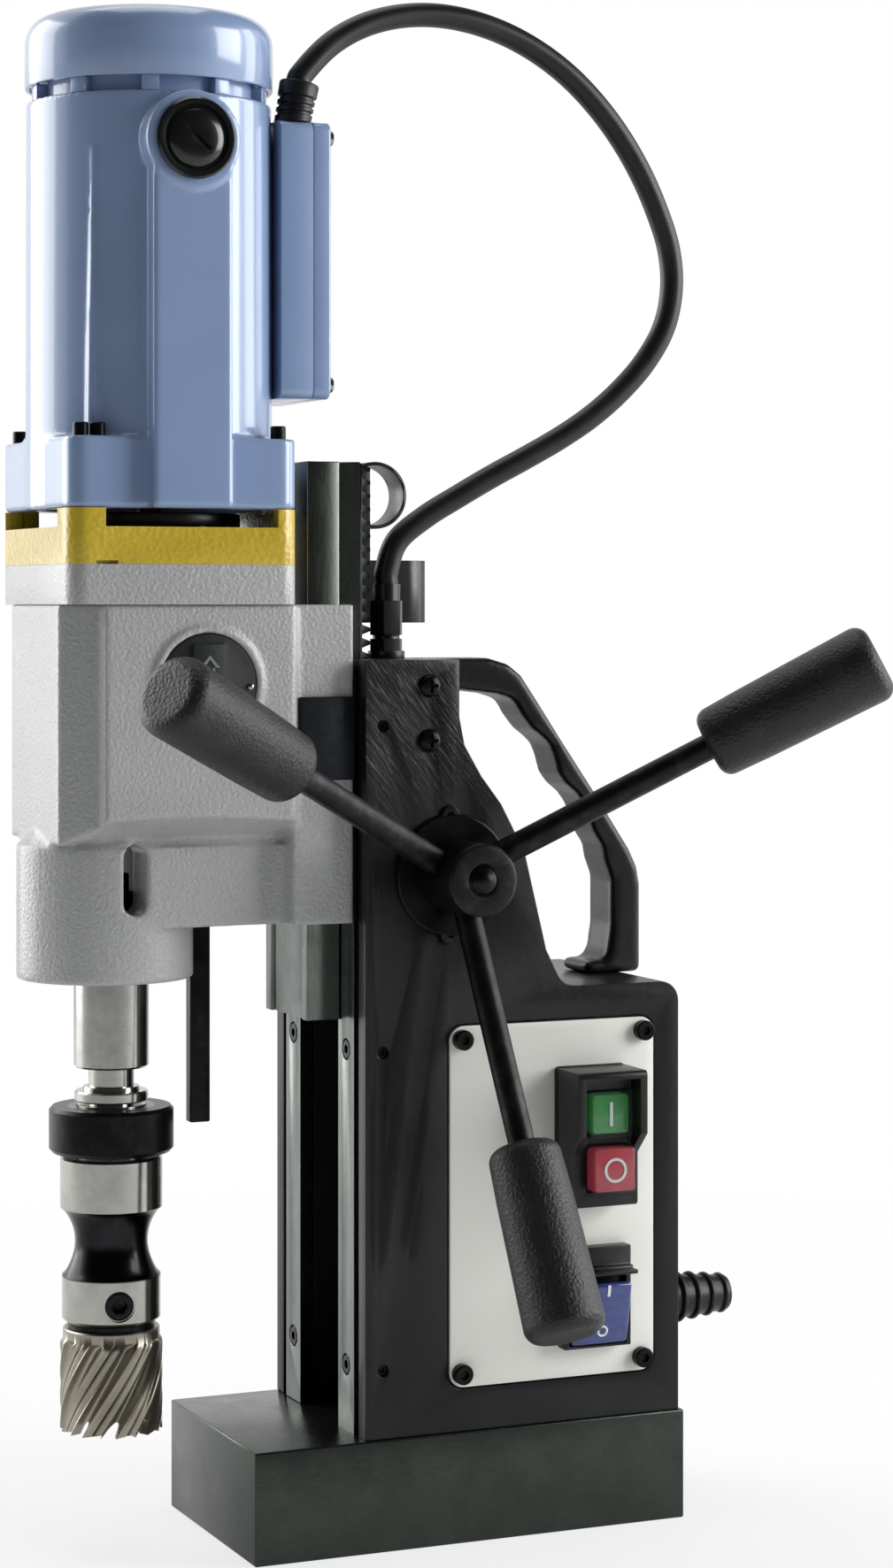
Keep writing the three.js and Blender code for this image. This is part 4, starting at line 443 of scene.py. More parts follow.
class Pattern(Nodes):
    """A Geometry Nodes tree with named inputs, ended in real geometry and its material."""

    def __init__(self, name, **inputs):
        super().__init__(bpy.data.node_groups.new(name, "GeometryNodeTree"))
        face = self.tree.interface
        face.new_socket("Geometry", in_out="INPUT", socket_type="NodeSocketGeometry")
        face.new_socket("Geometry", in_out="OUTPUT", socket_type="NodeSocketGeometry")
        self.sockets = {}
        for label, kind in {**inputs, "Material": "Material"}.items():
            self.sockets[label] = face.new_socket(label, in_out="INPUT", socket_type=f"NodeSocket{kind}")
        self.given = self.tree.nodes.new("NodeGroupInput")
        self.result = self.tree.nodes.new("NodeGroupOutput")

    def value(self, label):
        return Value(self, self.given.outputs[label])

    def moved(self, shape, place):
        return self.node("GeometryNodeTransform", {}, {"Geometry": shape, "Translation": place})

    def lifted(self, shape, height):
        return self.moved(shape, self.node("ShaderNodeCombineXYZ", {}, {"Z": height}))

    def copies(self, points, shape, direction, axis, **inputs):
        """Stands a shape on every point, with one of its axes along a direction."""
        turn = self.node("FunctionNodeAlignRotationToVector", {"axis": axis}, {"Vector": direction})
        return self.node("GeometryNodeInstanceOnPoints", {}, {
            "Points": points, "Instance": shape, "Rotation": turn, **inputs})

    def end(self, geometry):
        real = self.node("GeometryNodeRealizeInstances", {}, {"Geometry": geometry})
        painted = self.node("GeometryNodeSetMaterial", {}, {
            "Geometry": real, "Material": self.value("Material")})
        self.tree.links.new(painted.socket, self.result.inputs["Geometry"])
        return self

    def made(self, base, **values):
        """Puts the pattern on an object, turns it into a plain mesh and removes the modifier."""
        step = base.modifiers.new("pattern", "NODES")
        step.node_group = self.tree
        for label, value in values.items():
            step[self.sockets[label].identifier] = value
        return bake(base)


# Finishes

def colour(red, green, blue):
    """A colour given as the screen shows it, from 0 to 255."""
    def linear(level):
        share = level / 255
        return share / 12.92 if share <= 0.04045 else ((share + 0.055) / 1.055) ** 2.4
    return (linear(red), linear(green), linear(blue), 1.0)


def paint(name, base, dark, gloss, grain, depth, blend, coat):
    """Sprayed paint with its grain and a slow change of shade."""
    finish = Finish(name, Coat_Roughness=0.12, IOR=1.48)
    slow = finish.noise(38, 2.0)
    fine = finish.noise(grain, 3.0, 0.55)
    share = finish.between(slow, 0.35, 0.75) * blend + finish.between(fine, 0.45, 0.8) * (blend * 0.5)
    rough = finish.between(fine, 0.2, 0.8) * 0.12 + gloss
    coated = finish.between(slow, 0.2, 0.9) * 0.1 + coat
    return finish.set(
        Base_Color=finish.mixed(share.clamped(), base, dark),
        Roughness=rough,
        Coat_Weight=coated,
        Normal=finish.bump(fine, depth),
    )


def hammered(name, base, dark, size, depth, gloss):
    """Wrinkled hammer paint, with beads that run into each other."""
    finish = Finish(name, Coat_Roughness=0.18, IOR=1.5)
    beads = finish.cells(size, "SMOOTH_F1", Smoothness=0.6)
    run = finish.noise(size * 0.9, 2.0, 0.4)
    fine = finish.noise(size * 0.25, 2.0, 0.5)
    slow = finish.noise(45, 2.0)
    height = beads * 0.55 + run * 0.6 + fine * 0.12
    share = finish.between(slow, 0.3, 0.8) * 0.3 + finish.between(run, 0.35, 0.75) * 0.35
    return finish.set(
        Base_Color=finish.mixed(share.clamped(), base, dark),
        Roughness=finish.between(run, 0.3, 0.8) * 0.14 + gloss,
        Coat_Weight=finish.between(beads, 0.1, 0.7) * 0.2 + 0.2,
        Normal=finish.bump(height, depth),
    )


def cast_black():
    """Thick black paint on the castings, milled bare in slanting strokes beside the tower's screws."""
    finish = Finish("cast_black", IOR=1.5, Coat_Roughness=0.12, Specular_IOR_Level=0.2)
    lumps = finish.noise(5.5, 3.0, 0.5)
    grain = finish.noise(0.9, 2.0, 0.5)
    slow = finish.noise(60, 2.0)
    strokes = finish.noise(1.1, 4.0, 0.6, stretch=(1.0, 1.0, 0.09), turn=(0.0, math.radians(38), 0.0))
    near_top = finish.between(finish.axis("Z"), 0.285, 0.318)
    on_side = finish.between(finish.axis("Y"), -0.0494, -0.0497)
    on_tower = finish.between(finish.axis("X"), 0.012, -0.004)
    milled = near_top * on_side * on_tower
    height = lumps * 0.6 + grain * 0.22 + (strokes - 0.5) * milled * 1.6
    worn = finish.between(strokes, 0.56, 0.68) * milled * 0.55
    base = finish.mixed(finish.between(slow, 0.3, 0.7), colour(14, 15, 16), colour(21, 23, 24))
    return finish.set(
        Base_Color=finish.mixed(worn.clamped(), base, colour(92, 95, 96)),
        Roughness=(finish.between(grain, 0.2, 0.8) * 0.12 + 0.33 - milled * 0.06).clamped(),
        Coat_Weight=finish.between(slow, 0.2, 0.8) * 0.2 + 0.1,
        Normal=finish.bump(height, 0.22),
    )


def ground(name, base, dark, rough, stretch, metal=1.0, depth=0.02):
    """Ground or milled steel with fine scratches along one direction and faint stains."""
    finish = Finish(name, Metallic=metal)
    scratch = finish.noise(0.28, 4.0, 0.65, stretch)
    broad = finish.noise(2.2, 3.0, 0.6, stretch)
    stain = finish.noise(24, 4.0, 0.6)
    share = finish.between(scratch, 0.3, 0.75) * 0.45 + finish.between(stain, 0.4, 0.75) * 0.5
    return finish.set(
        Base_Color=finish.mixed(share.clamped(), base, dark),
        Roughness=finish.between(scratch, 0.3, 0.7) * 0.14 + finish.between(stain, 0.3, 0.8) * 0.1 + rough,
        Normal=finish.bump(scratch * 0.6 + broad * 0.5, depth),
    )


def lathe_marks(finish):
    """The fine rings that a lathe leaves about a vertical axis, and the smears across them."""
    return finish.noise(0.35, 3.0, 0.6, stretch=(0.03, 0.03, 1.0)), finish.noise(9, 3.0, 0.6)


def lathe_steel(name, base, dark, rough):
    """Turned metal, with painted shade: it is darker from about 240 to 315 mm high, where the spindle is seen
    inside the gearbox through its drift slot.
    """
    finish = Finish(name, Metallic=1.0)
    rings, smear = lathe_marks(finish)
    height = finish.axis("Z")
    # Painted shade: a mask from about 240 to 315 mm high, for the shade inside the gearbox and its drift
    # slot.
    painted_slot_shade = finish.between(height, 0.238, 0.245) - finish.between(height, 0.31, 0.32)
    worn = finish.mixed(finish.between(smear, 0.35, 0.8) * 0.6, base, dark)
    return finish.set(
        # The near-black colour here is painted shade over that span.
        Base_Color=finish.mixed(painted_slot_shade.clamped(), worn, colour(26, 25, 24)),
        Roughness=finish.between(rings, 0.3, 0.7) * 0.06 + finish.between(smear, 0.3, 0.8) * 0.06 + rough,
        Normal=finish.bump(rings, 0.004),
    )


def arbor_steel():
    """The arbor: turned bright at both ends, and blackened where its waist was heated."""
    finish = Finish("arbor_steel", Metallic=1.0)
    rings, smear = lathe_marks(finish)
    height = finish.axis("Z")
    waist = finish.between(height, 0.1098, 0.1105) - finish.between(height, 0.1375, 0.1379)
    shank = finish.between(height, 0.21, 0.23)
    bright = finish.mixed(
        finish.between(smear, 0.35, 0.8) * 0.6, colour(176, 176, 170), colour(138, 139, 134))
    black = finish.mixed(finish.between(smear, 0.4, 0.8) * 0.5, colour(34, 35, 36), colour(58, 59, 60))
    return finish.set(
        Base_Color=finish.mixed((waist + shank).clamped(), bright, black),
        Roughness=finish.between(rings, 0.3, 0.7) * 0.06 + 0.14 + waist * 0.06,
        Normal=finish.bump(rings, 0.004),
    )


def rubbery(name, base, pale, rough, grain, depth, coat=0.0, shine=0.3):
    """Moulded rubber or plastic with a fine skin, handled pale here and there."""
    finish = Finish(name, IOR=1.5, Coat_Roughness=0.25, Specular_IOR_Level=shine)
    skin = finish.noise(grain, 3.0, 0.6)
    pits = finish.cells(grain * 1.6)
    worn = finish.noise(14, 4.0, 0.6)
    share = finish.between(worn, 0.5, 0.78) * 0.55 + finish.between(skin, 0.55, 0.8) * 0.25
    return finish.set(
        Base_Color=finish.mixed(share.clamped(), base, pale),
        Roughness=finish.between(skin, 0.3, 0.7) * 0.1 + finish.between(worn, 0.4, 0.8) * 0.08 + rough,
        Coat_Weight=finish.between(worn, 0.3, 0.8) * 0.08 + coat,
        Normal=finish.bump(skin * 0.7 + pits * 0.5, depth),
    )


def blued(name, base, sheen, rough):
    """Oxide-blackened steel that shows a little bare metal where it is touched."""
    finish = Finish(name, Metallic=0.85)
    touch = finish.noise(7, 4.0, 0.62)
    fine = finish.noise(0.5, 3.0, 0.6)
    return finish.set(
        Base_Color=finish.mixed(finish.between(touch, 0.48, 0.75) * 0.6, base, sheen),
        Roughness=finish.between(fine, 0.3, 0.7) * 0.12 + rough,
        Normal=finish.bump(fine, 0.015),
    )


def lens(name, base, deep, painted_glow):
    """A coloured plastic lens with a painted glow: it gives off light in its own colour, for the light
    scattered inside it, though it is no lamp.
    """
    # Painted glow: the emission strength makes the lens shine in its own colour.
    finish = Finish(name, IOR=1.49, Coat_Roughness=0.05, Emission_Strength=painted_glow)
    cloud = finish.noise(3.5, 2.0, 0.5)
    fine = finish.noise(0.6, 2.0, 0.5)
    shade = finish.mixed(finish.between(cloud, 0.3, 0.75) * 0.6 + finish.ridges(2.4, 0.4) * 0.2, base, deep)
    return finish.set(
        Base_Color=shade,
        Emission_Color=shade,
        Roughness=finish.between(fine, 0.2, 0.8) * 0.08 + 0.14,
        Coat_Weight=finish.between(cloud, 0.2, 0.8) * 0.2 + 0.5,
        Normal=finish.bump(fine, 0.01),
    )


def clear_plastic():
    """The clear caps over the push buttons."""
    finish = Finish("clear_plastic", IOR=1.49, Coat_Roughness=0.05)
    fine = finish.noise(1.2, 2.0, 0.5)
    return finish.set(
        Base_Color=finish.mixed(fine, colour(112, 118, 120), colour(84, 90, 92)),
        Alpha=finish.between(fine, 0.2, 0.9) * 0.04 + 0.15,
        Roughness=fine * 0.08 + 0.05,
        Normal=finish.bump(fine, 0.01),
    )


def copper_wire(name, base, dark):
    """Wound and varnished wire, with a ridge for every turn."""
    finish = Finish(name, Metallic=0.8, Coat_Roughness=0.2)
    turns = finish.ridges(1.1, 0.6)
    stain = finish.noise(6, 3.0, 0.6)
    return finish.set(
        Base_Color=finish.mixed(finish.between(stain, 0.3, 0.8), base, dark),
        Roughness=turns * 0.12 + 0.3,
        Coat_Weight=stain * 0.4 + 0.1,
        Normal=finish.bump(turns, 0.2),
    )


def pale_floor(shade, near, reflected):
    """The floor: shadowed by the object near it, wholly white further off, and dim in reflections."""
    finish = Finish("pale_floor", Roughness=0.9, IOR=1.3)
    cloud = finish.noise(400, 2.0, 0.5)
    finish.set(Base_Color=finish.mixed(cloud * 0.06, shade, colour(232, 232, 232)))
    place = finish.node("ShaderNodeTexCoord", {}, {}, "Object")
    distance = finish.node("ShaderNodeVectorMath", {"operation": "LENGTH"}, [place], 1)
    far = finish.between(distance, 0.3, 0.85)
    share = finish.ray("Camera") * (far * (1.0 - near) + near) + finish.ray("Glossy") * reflected
    white = finish.node("ShaderNodeEmission", {}, {"Color": (1.0, 1.0, 1.0, 1.0), "Strength": 1.0})
    both = finish.node("ShaderNodeMixShader", {}, [
        (share + finish.ray("Transmission")).clamped(), Value(finish, finish.surface.outputs[0]), white])
    finish.tree.links.new(both.socket, finish.tree.nodes["Material Output"].inputs["Surface"])
    return finish.material


# Each finish is made when a piece first asks for it, from the colours c and the surface settings s.

FINISHES = {}
FINISH_MAKERS = {
    "blue": lambda c, s: paint(
        "blue_paint", tuple(c.blue), colour(116, 138, 174), 0.3, 1.2 * s.grain, 0.006, 0.3, 0.9),
    "yellow": lambda c, s: hammered(
        "yellow_paint", tuple(c.yellow), colour(176, 150, 30), 2.3 * s.grain, 0.4, 0.26),
    "grey": lambda c, s: hammered(
        "grey_paint", tuple(c.grey), colour(152, 152, 152), 1.5 * s.grain, 0.45, 0.34),
    "panel": lambda c, s: paint(
        "panel_paint", tuple(c.panel), colour(218, 217, 210), 0.4, 0.7, 0.012, 0.3, 0.05),
    "white": lambda c, s: paint(
        "sign_white", colour(226, 230, 230), colour(206, 210, 210), 0.4, 0.5, 0.01, 0.2, 0.1),
    "cast": lambda c, s: cast_black(),
    "magnet": lambda c, s: ground(
        "magnet_steel", colour(70, 75, 70), colour(46, 50, 46), 0.14, (0.05, 1.0, 1.0), 0.9),
    "ground": lambda c, s: ground(
        "ground_steel", colour(112, 117, 112), colour(78, 83, 79), 0.18, (1.0, 1.0, 0.03)),
    "bracket": lambda c, s: ground(
        "bracket_steel", colour(66, 68, 66), colour(40, 42, 40), 0.22, (1.0, 1.0, 0.2)),
    "cutter": lambda c, s: ground(
        "cutter_steel", colour(168, 164, 152), colour(122, 114, 98), 0.22, (0.6, 0.6, 1.0), depth=0.03),
    "laminate": lambda c, s: ground(
        "laminated_steel", colour(128, 132, 134), colour(94, 98, 100), 0.4, (0.05, 0.05, 1.0)),
    "bright": lambda c, s: lathe_steel("bright_steel", colour(178, 177, 172), colour(138, 138, 133), 0.14),
    "bronze": lambda c, s: lathe_steel("bush_bronze", colour(176, 128, 70), colour(132, 92, 48), 0.3),
    "arbor": lambda c, s: arbor_steel(),
    "dark": lambda c, s: blued("dark_steel", colour(22, 23, 24), colour(44, 45, 47), 0.28),
    "rod": lambda c, s: blued("rod_steel", colour(34, 34, 34), colour(66, 65, 64), 0.34),
    "plate": lambda c, s: blued("gib_steel", colour(40, 42, 46), colour(56, 60, 66), 0.42),
    "rubber": lambda c, s: rubbery(
        "rubber", colour(20, 21, 21), colour(44, 46, 45), 0.36, 0.9 * s.grain, 0.45, shine=0.4),
    "lead": lambda c, s: rubbery("lead_rubber", colour(16, 17, 18), colour(34, 36, 38), 0.36, 0.6, 0.02, 0.1),
    "plastic": lambda c, s: rubbery(
        "black_plastic", colour(16, 17, 18), colour(28, 30, 31), 0.3, 0.5, 0.03, 0.1),
    "gloss": lambda c, s: rubbery(
        "gloss_plastic", colour(16, 17, 18), colour(28, 29, 30), 0.1, 0.9, 0.008, 0.5),
    "dial": lambda c, s: rubbery("dial_plastic", colour(34, 36, 37), colour(48, 51, 52), 0.4, 0.5, 0.02),
    "pale_dial": lambda c, s: rubbery(
        "dial_mark", colour(122, 126, 126), colour(150, 152, 150), 0.4, 0.5, 0.02),
    "circuit": lambda c, s: rubbery(
        "circuit_board", colour(26, 88, 56), colour(44, 112, 74), 0.36, 1.4, 0.05, 0.2),
    # The last number of each lens is the strength of its painted glow.
    "green": lambda c, s: lens("green_lens", colour(50, 152, 64), colour(30, 122, 46), 0.22),
    "red": lambda c, s: lens("red_lens", colour(190, 44, 62), colour(150, 26, 44), 0.25),
    "rocker": lambda c, s: lens("blue_lens", colour(50, 66, 124), colour(34, 46, 96), 0.14),
    "clear": lambda c, s: clear_plastic(),
    "copper": lambda c, s: copper_wire("copper_wire", colour(176, 104, 58), colour(120, 62, 36)),
}


def finish_named(name):
    """A finish by its name, made when it is first asked for."""
    if name not in FINISHES:
        scene = bpy.context.scene
        FINISHES[name] = FINISH_MAKERS[name](scene.drill_colours, scene.drill_surface)
    return FINISHES[name]


# Patterns that repeat, made with Geometry Nodes

def cap_screws():
    """Socket head screws on the points of a mesh, along the points' own direction."""
    pattern = Pattern("Cap screws", Head_radius="Float", Head_height="Float", Socket_radius="Float",
                      Sunk="Float")
    radius, height = pattern.value("Head_radius"), pattern.value("Head_height")
    edge, half = radius * 0.14, height * 0.5
    body = pattern.node("GeometryNodeMeshCylinder", {"fill_type": "NGON"}, {
        "Vertices": 40, "Radius": radius, "Depth": height})
    crown = pattern.node("GeometryNodeMeshCone", {"fill_type": "NGON"}, {
        "Vertices": 40, "Radius Bottom": radius, "Radius Top": radius - edge, "Depth": edge})
    hexagon = pattern.node("GeometryNodeMeshCylinder", {"fill_type": "NGON"}, {
        "Vertices": 6, "Radius": pattern.value("Socket_radius"), "Depth": height})
    whole = pattern.node("GeometryNodeMeshBoolean", {"operation": "UNION"}, {
        "Mesh 2": [body, pattern.lifted(crown, half)]})
    socketed = pattern.node("GeometryNodeMeshBoolean", {"operation": "DIFFERENCE"}, {
        "Mesh 1": whole, "Mesh 2": pattern.lifted(hexagon, height * 0.72)})
    screw = pattern.lifted(socketed, half - pattern.value("Sunk"))
    facing = pattern.node("GeometryNodeInputNamedAttribute", {"data_type": "FLOAT_VECTOR"}, {
        "Name": "facing"})
    return pattern.end(pattern.copies(pattern.value("Geometry"), screw, facing, "Z"))


def blocks_in_ring():
    """Copies of a small block in a ring about a vertical axis."""
    pattern = Pattern("Blocks in a ring", Count="Int", Ring_radius="Float", Centre="Vector",
                      Block_size="Vector")
    centre = pattern.value("Centre")
    circle = pattern.node("GeometryNodeMeshCircle", {"fill_type": "NONE"}, {
        "Vertices": pattern.value("Count"), "Radius": pattern.value("Ring_radius")})
    position = pattern.node("GeometryNodeInputPosition", {}, {})
    cube = pattern.node("GeometryNodeMeshCube", {}, {"Size": pattern.value("Block_size")})
    away = pattern.vectors("SUBTRACT", position, centre)
    return pattern.end(pattern.copies(pattern.moved(circle, centre), cube, away, "X"))


def ribs_along():
    """Rubber ribs: rings set along a line, each a little smaller than the one before."""
    pattern = Pattern("Ribs along a line", Count="Int", Start="Vector", End="Vector",
                      Start_radius="Float", End_radius="Float", Rib_radius="Float")
    count, start, end = (pattern.value(label) for label in ("Count", "Start", "End"))
    line = pattern.node("GeometryNodeMeshLine", {"mode": "END_POINTS"}, {
        "Count": count, "Start Location": start, "Offset": end})
    path = pattern.node("GeometryNodeCurvePrimitiveCircle", {}, {"Resolution": 64, "Radius": 1.0})
    radius = pattern.node("ShaderNodeMapRange", {}, [
        pattern.node("GeometryNodeInputIndex", {}, {}), 0.0, count - 1.0,
        pattern.value("Start_radius"), pattern.value("End_radius")])
    placed = pattern.copies(line, path, pattern.vectors("SUBTRACT", end, start), "Z", Scale=radius)
    curves = pattern.node("GeometryNodeRealizeInstances", {}, {"Geometry": placed})
    section = pattern.node("GeometryNodeCurvePrimitiveCircle", {}, {
        "Resolution": 14, "Radius": pattern.value("Rib_radius")})
    return pattern.end(pattern.node("GeometryNodeCurveToMesh", {}, {
        "Curve": curves, "Profile Curve": section}))


def screw_points(name, places, facing):
    """The points that screws stand on, each with the direction that its head looks in."""
    mesh = bpy.data.meshes.new(name)
    mesh.from_pydata([Vector(place) * MM for place in places], [], [])
    layer = mesh.attributes.new("facing", "FLOAT_VECTOR", "POINT")
    for k in range(len(places)):
        layer.data[k].vector = facing
    return new_object(name, mesh)


def screws(name, body, places, facing, finish, radius, height, socket, sunk=0.0):
    """Screws of one size on one body."""
    made = cap_screws().made(
        screw_points(name, places, facing), Head_radius=radius * MM, Head_height=height * MM,
        Socket_radius=socket * MM, Sunk=sunk * MM, Material=finish_named(finish))
    finished(made, body, None, angle=30)


# The stage

def aim(thing, place, target):
    """Places a lamp or the camera and turns it to look at a point."""
    thing.location = place
    thing.rotation_euler = (Vector(target) - Vector(place)).to_track_quat("-Z", "Y").to_euler()


def soft_light(name, place, width, height, power):
    """A rectangular lamp that looks at the middle of the drill."""
    lamp = bpy.data.lights.new(name, "AREA")
    lamp.shape = "RECTANGLE"
    lamp.size = width
    lamp.size_y = height
    lamp.energy = power
    aim(new_object(name, lamp), place, (-0.03, 0.0, 0.32))


def build_camera(settings):
    """The camera where the photograph was taken from, level, with the horizon above the middle."""
    lens = bpy.data.cameras.new("photo_camera")
    lens.sensor_fit = "AUTO"
    lens.sensor_width = 36.0
    lens.lens = settings.lens
    lens.shift_y = settings.shift
    lens.clip_start = 0.05
    lens.clip_end = 60.0
    camera = new_object("photo_camera", lens)
    place = Vector((-0.5667, -1.3236, 0.3795))
    aim(camera, place, place + Vector((0.3991, 0.9169, 0.0)))
    bpy.context.scene.camera = camera


# The screens of the room that metal and gloss mirror: bearing, half width and soft edge in degrees, strength
ROOM_LEVEL = 0.04
ROOM_SCREENS = ((106.0, 60.0, 7.0, 0.94), (5.0, 24.0, 10.0, 0.9), (330.0, 10.0, 18.0, 0.1))


def build_world(level):
    """An even pale sky. The camera sees it white, and reflections see pale screens around a dark room."""
    world = bpy.data.worlds.new("studio")
    bpy.context.scene.world = world
    world.use_nodes = True
    world.node_tree.nodes.clear()
    sky = Nodes(world.node_tree)
    place = sky.node("ShaderNodeTexCoord", {}, {}, "Generated")

    def screen(degrees, half_width, soft, strength):
        """How bright the room looks towards one screen."""
        facing = (math.cos(math.radians(degrees)), math.sin(math.radians(degrees)), 0.0)
        return sky.node("ShaderNodeMapRange", {"interpolation_type": "SMOOTHSTEP"}, [
            sky.vectors("DOT_PRODUCT", place, facing, "Value"),
            math.cos(math.radians(half_width + soft)), math.cos(math.radians(half_width)), 0.0, strength])

    def background(shade, strength):
        return sky.node("ShaderNodeBackground", {}, {"Color": shade, "Strength": strength})

    white = (1.0, 1.0, 1.0, 1.0)
    room = sum((screen(*values) for values in ROOM_SCREENS), ROOM_LEVEL)
    seen = sky.node("ShaderNodeMath", {"operation": "MAXIMUM"}, [sky.ray("Camera"), sky.ray("Transmission")])
    lit = sky.node("ShaderNodeMixShader", {}, [
        sky.ray("Glossy"), background((0.95, 0.97, 1.0, 1.0), level), background(white, room)])
    both = sky.node("ShaderNodeMixShader", {}, [seen, lit, background(white, 1.0)])
    output = sky.tree.nodes.new("ShaderNodeOutputWorld")
    sky.tree.links.new(both.socket, output.inputs["Surface"])


# Pieces that ride on the carriage

def head_outline(inset=0.0):
    """The rounded rectangle that the gearbox's lid, the fan ring and the motor's flange share."""
    x0, x1 = HEAD_X
    return rounded(
        rectangle((x0 + inset, x1 - inset), (-HEAD_HALF_WIDTH + inset, HEAD_HALF_WIDTH - inset)),
        max(HEAD_RADIUS - inset, 3.0))


def build_motor_housing():
    """The motor's body with its flat strips, its brush seats and its flange with screws."""
    x, brushes = BRUSH_AXIS
    whole = prism("motor_barrel", "z", head_outline(), (SHROUD_TOP, FLANGE_TOP))
    parts = [rod("barrel", "z", MOTOR_AXIS, MOTOR_RADIUS, (SHROUD_TOP, MOTOR_TOP), end_radius=49.4)]
    for side in (-1, 1):
        parts.append(block("strip", (x - 16.3, x + 16.3), mirrored(side, 38.8, 55.0), (SHROUD_TOP, brushes)))
        parts.append(rod("boss", "y", BRUSH_AXIS, 19.4, mirrored(side, 38.8, 56.2)))
    turn = math.radians(225.5)
    pillar = (x + MOTOR_RADIUS * math.cos(turn), MOTOR_RADIUS * math.sin(turn))
    parts.append(rod("pillar", "z", pillar, 3.6, (SHROUD_TOP, 559.0), 32, 0.7))
    joined(whole, *parts)
    cut(
        whole,
        block("box_seat", (-76.0, -54.4), (-30.3, 30.3), (462.6, 575.3)),
        rod("inside", "z", MOTOR_AXIS, 44.4, (SHROUD_TOP - 2, 575.1)),
        rod("shaft_hole", "z", MOTOR_AXIS, 5.3, (573.0, MOTOR_TOP + 2)),
        *[rod("brush_seat", "y", BRUSH_AXIS, 12.8, mirrored(side, 48.2, 60.0)) for side in (-1, 1)],
    )
    cast(whole, 1.15, 3)
    finished(whole, "carriage", "blue", ["motor_housing"], 60)
    places = [(-163.6, -41.0), (-157.2, -42.6), (-81.6, -41.0), (-163.6, 41.0), (-81.6, 41.0)]
    screws("flange_screws", "carriage", [(*place, FLANGE_TOP - 0.2) for place in places], (0.0, 0.0, 1.0),
           "dark", 3.1, 5.2, 1.6, 0.2)


def build_motor_cap():
    """The cap over the motor, and the lugs that leave a vent below it."""
    bottom, top = 587.1, 616.0
    whole = turned("motor_crown", "z", MOTOR_AXIS, [
        (0, MOTOR_TOP), (44.0, MOTOR_TOP), (44.0, bottom + 1.0), (47.6, bottom + 1.0), (48.2, bottom),
        (49.6, bottom), (50.0, bottom + 0.5), (50.0, top - 11.4), *quarter(50.0, top, 11.0, 1, 10),
        (0, top)], 128)
    finished(whole, "carriage", "blue", ["motor_cap"], 50)
    lugs = blocks_in_ring().made(
        new_object("motor_vent_lugs", bpy.data.meshes.new("motor_vent_lugs")),
        Count=10, Ring_radius=46.0 * MM, Centre=Vector((*MOTOR_AXIS, 584.1)) * MM,
        Block_size=Vector((4.6, 7.0, 6.2)) * MM, Material=finish_named("blue"))
    finished(edged(lugs, 0.5, 2), "carriage", None)


def build_brush_cap(which, side):
    """A slotted cap over one of the motor's brushes."""
    x, z = BRUSH_AXIS
    face = 56.25
    profile = [(0, face - 7.7), (12.5, face - 7.7), (12.5, face), (15.4, face), (16.0, face + 0.6),
               (16.0, face + 1.7), (15.2, face + 2.5), (13.2, face + 2.5), (12.7, face + 1.1),
               (12.0, face + 1.1), (11.6, face + 2.0), (10.2, face + 3.0), (7.8, face + 3.7),
               (4.0, face + 4.0), (0, face + 4.0)]
    whole = turned(f"brush_cover_{which}", "y", BRUSH_AXIS, [(r, side * h) for r, h in profile], 80)
    slot = block("slot", (x - 6.2, x + 6.2), mirrored(side, face + 2.4, face + 9), (z - 0.8, z + 0.8))
    centre = Matrix.Translation(Vector((x, 0, z)) * MM)
    slot.data.transform(centre @ Matrix.Rotation(math.radians(42), 4, "Y") @ centre.inverted())
    cut(whole, slot)
    finished(edged(whole, 0.15, 2, 50), "carriage", "gloss", [f"brush_cap_{which}"], 40)


def build_terminal():
    """The connection box with its cover and screws, and the ribbed sleeve of the cable."""
    dressed_copy("connection_box", "terminal_box", "carriage", "blue", 1.1, 3, angle=40)
    dressed_copy("connection_cover", "terminal_cover", "carriage", "blue", 1.0, 3, angle=40)
    places = [(-54.5, y, z) for y in (-24.5, 24.5) for z in (469.0, 569.0)]
    screws("cover_screws", "carriage", places, (1.0, 0.0, 0.0), "bright", 3.2, 2.2, 1.3, 0.2)
    x, foot, height, lean = -68.2, 575.0, 16.0, 0.19
    grooves = [(wide, foot + low + lift) for low in (2.6, 5.6) for wide, lift in (
        (7.6, 0.0), (6.8, 0.4), (6.8, 1.3), (7.6, 1.7))]
    profile = [(5.0, foot), (7.5, foot), *grooves, (7.6, foot + 8.6), (6.9, foot + 9.0), (6.9, foot + 9.9),
               (7.9, foot + 10.5), (8.0, foot + 15.4), (7.6, foot + height), (5.05, foot + height)]
    relief = turned("motor_cable_sleeve", "z", (x, -22.0), profile, 56)
    for vertex in relief.data.vertices:
        above = vertex.co.z / MM - foot
        vertex.co.z -= lean * (vertex.co.x - x * MM) * above / height
        vertex.co.x += lean * above * MM
    finished(relief, "carriage", "lead", ["cable_relief"], 40)


CABLE_ROUTE = [
    (-65.2, -22, 591), (-64.5, -22, 594.4), (-52.2, -20.9, 607.2), (-37.7, -19.5, 616.2),
    (-21.6, -17.9, 621.6), (-4.4, -16.3, 623.8), (13, -14.7, 622.8), (30.2, -13.1, 618.9),
    (46.5, -11.6, 612.3), (61.4, -10.4, 603.3), (74.7, -9.3, 592.1), (86.5, -8.2, 579.2),
    (96.6, -7.3, 564.8), (104.9, -6.3, 549.3), (111.2, -5.4, 533), (113.2, -4.4, 516.3),
    (110, -3.6, 499.5), (101.2, -2.9, 484.3), (89.2, -2.4, 471.2), (75.7, -1.9, 460),
    (61.1, -1.5, 450.6), (45.8, -1.1, 442.2), (30.2, -0.8, 434.1), (14.8, -0.5, 425.5),
    (-0.4, -0.3, 416.6), (-13.2, -0.1, 406.3), (-18, 0, 393.5), (-18, 0, 388.4),
]


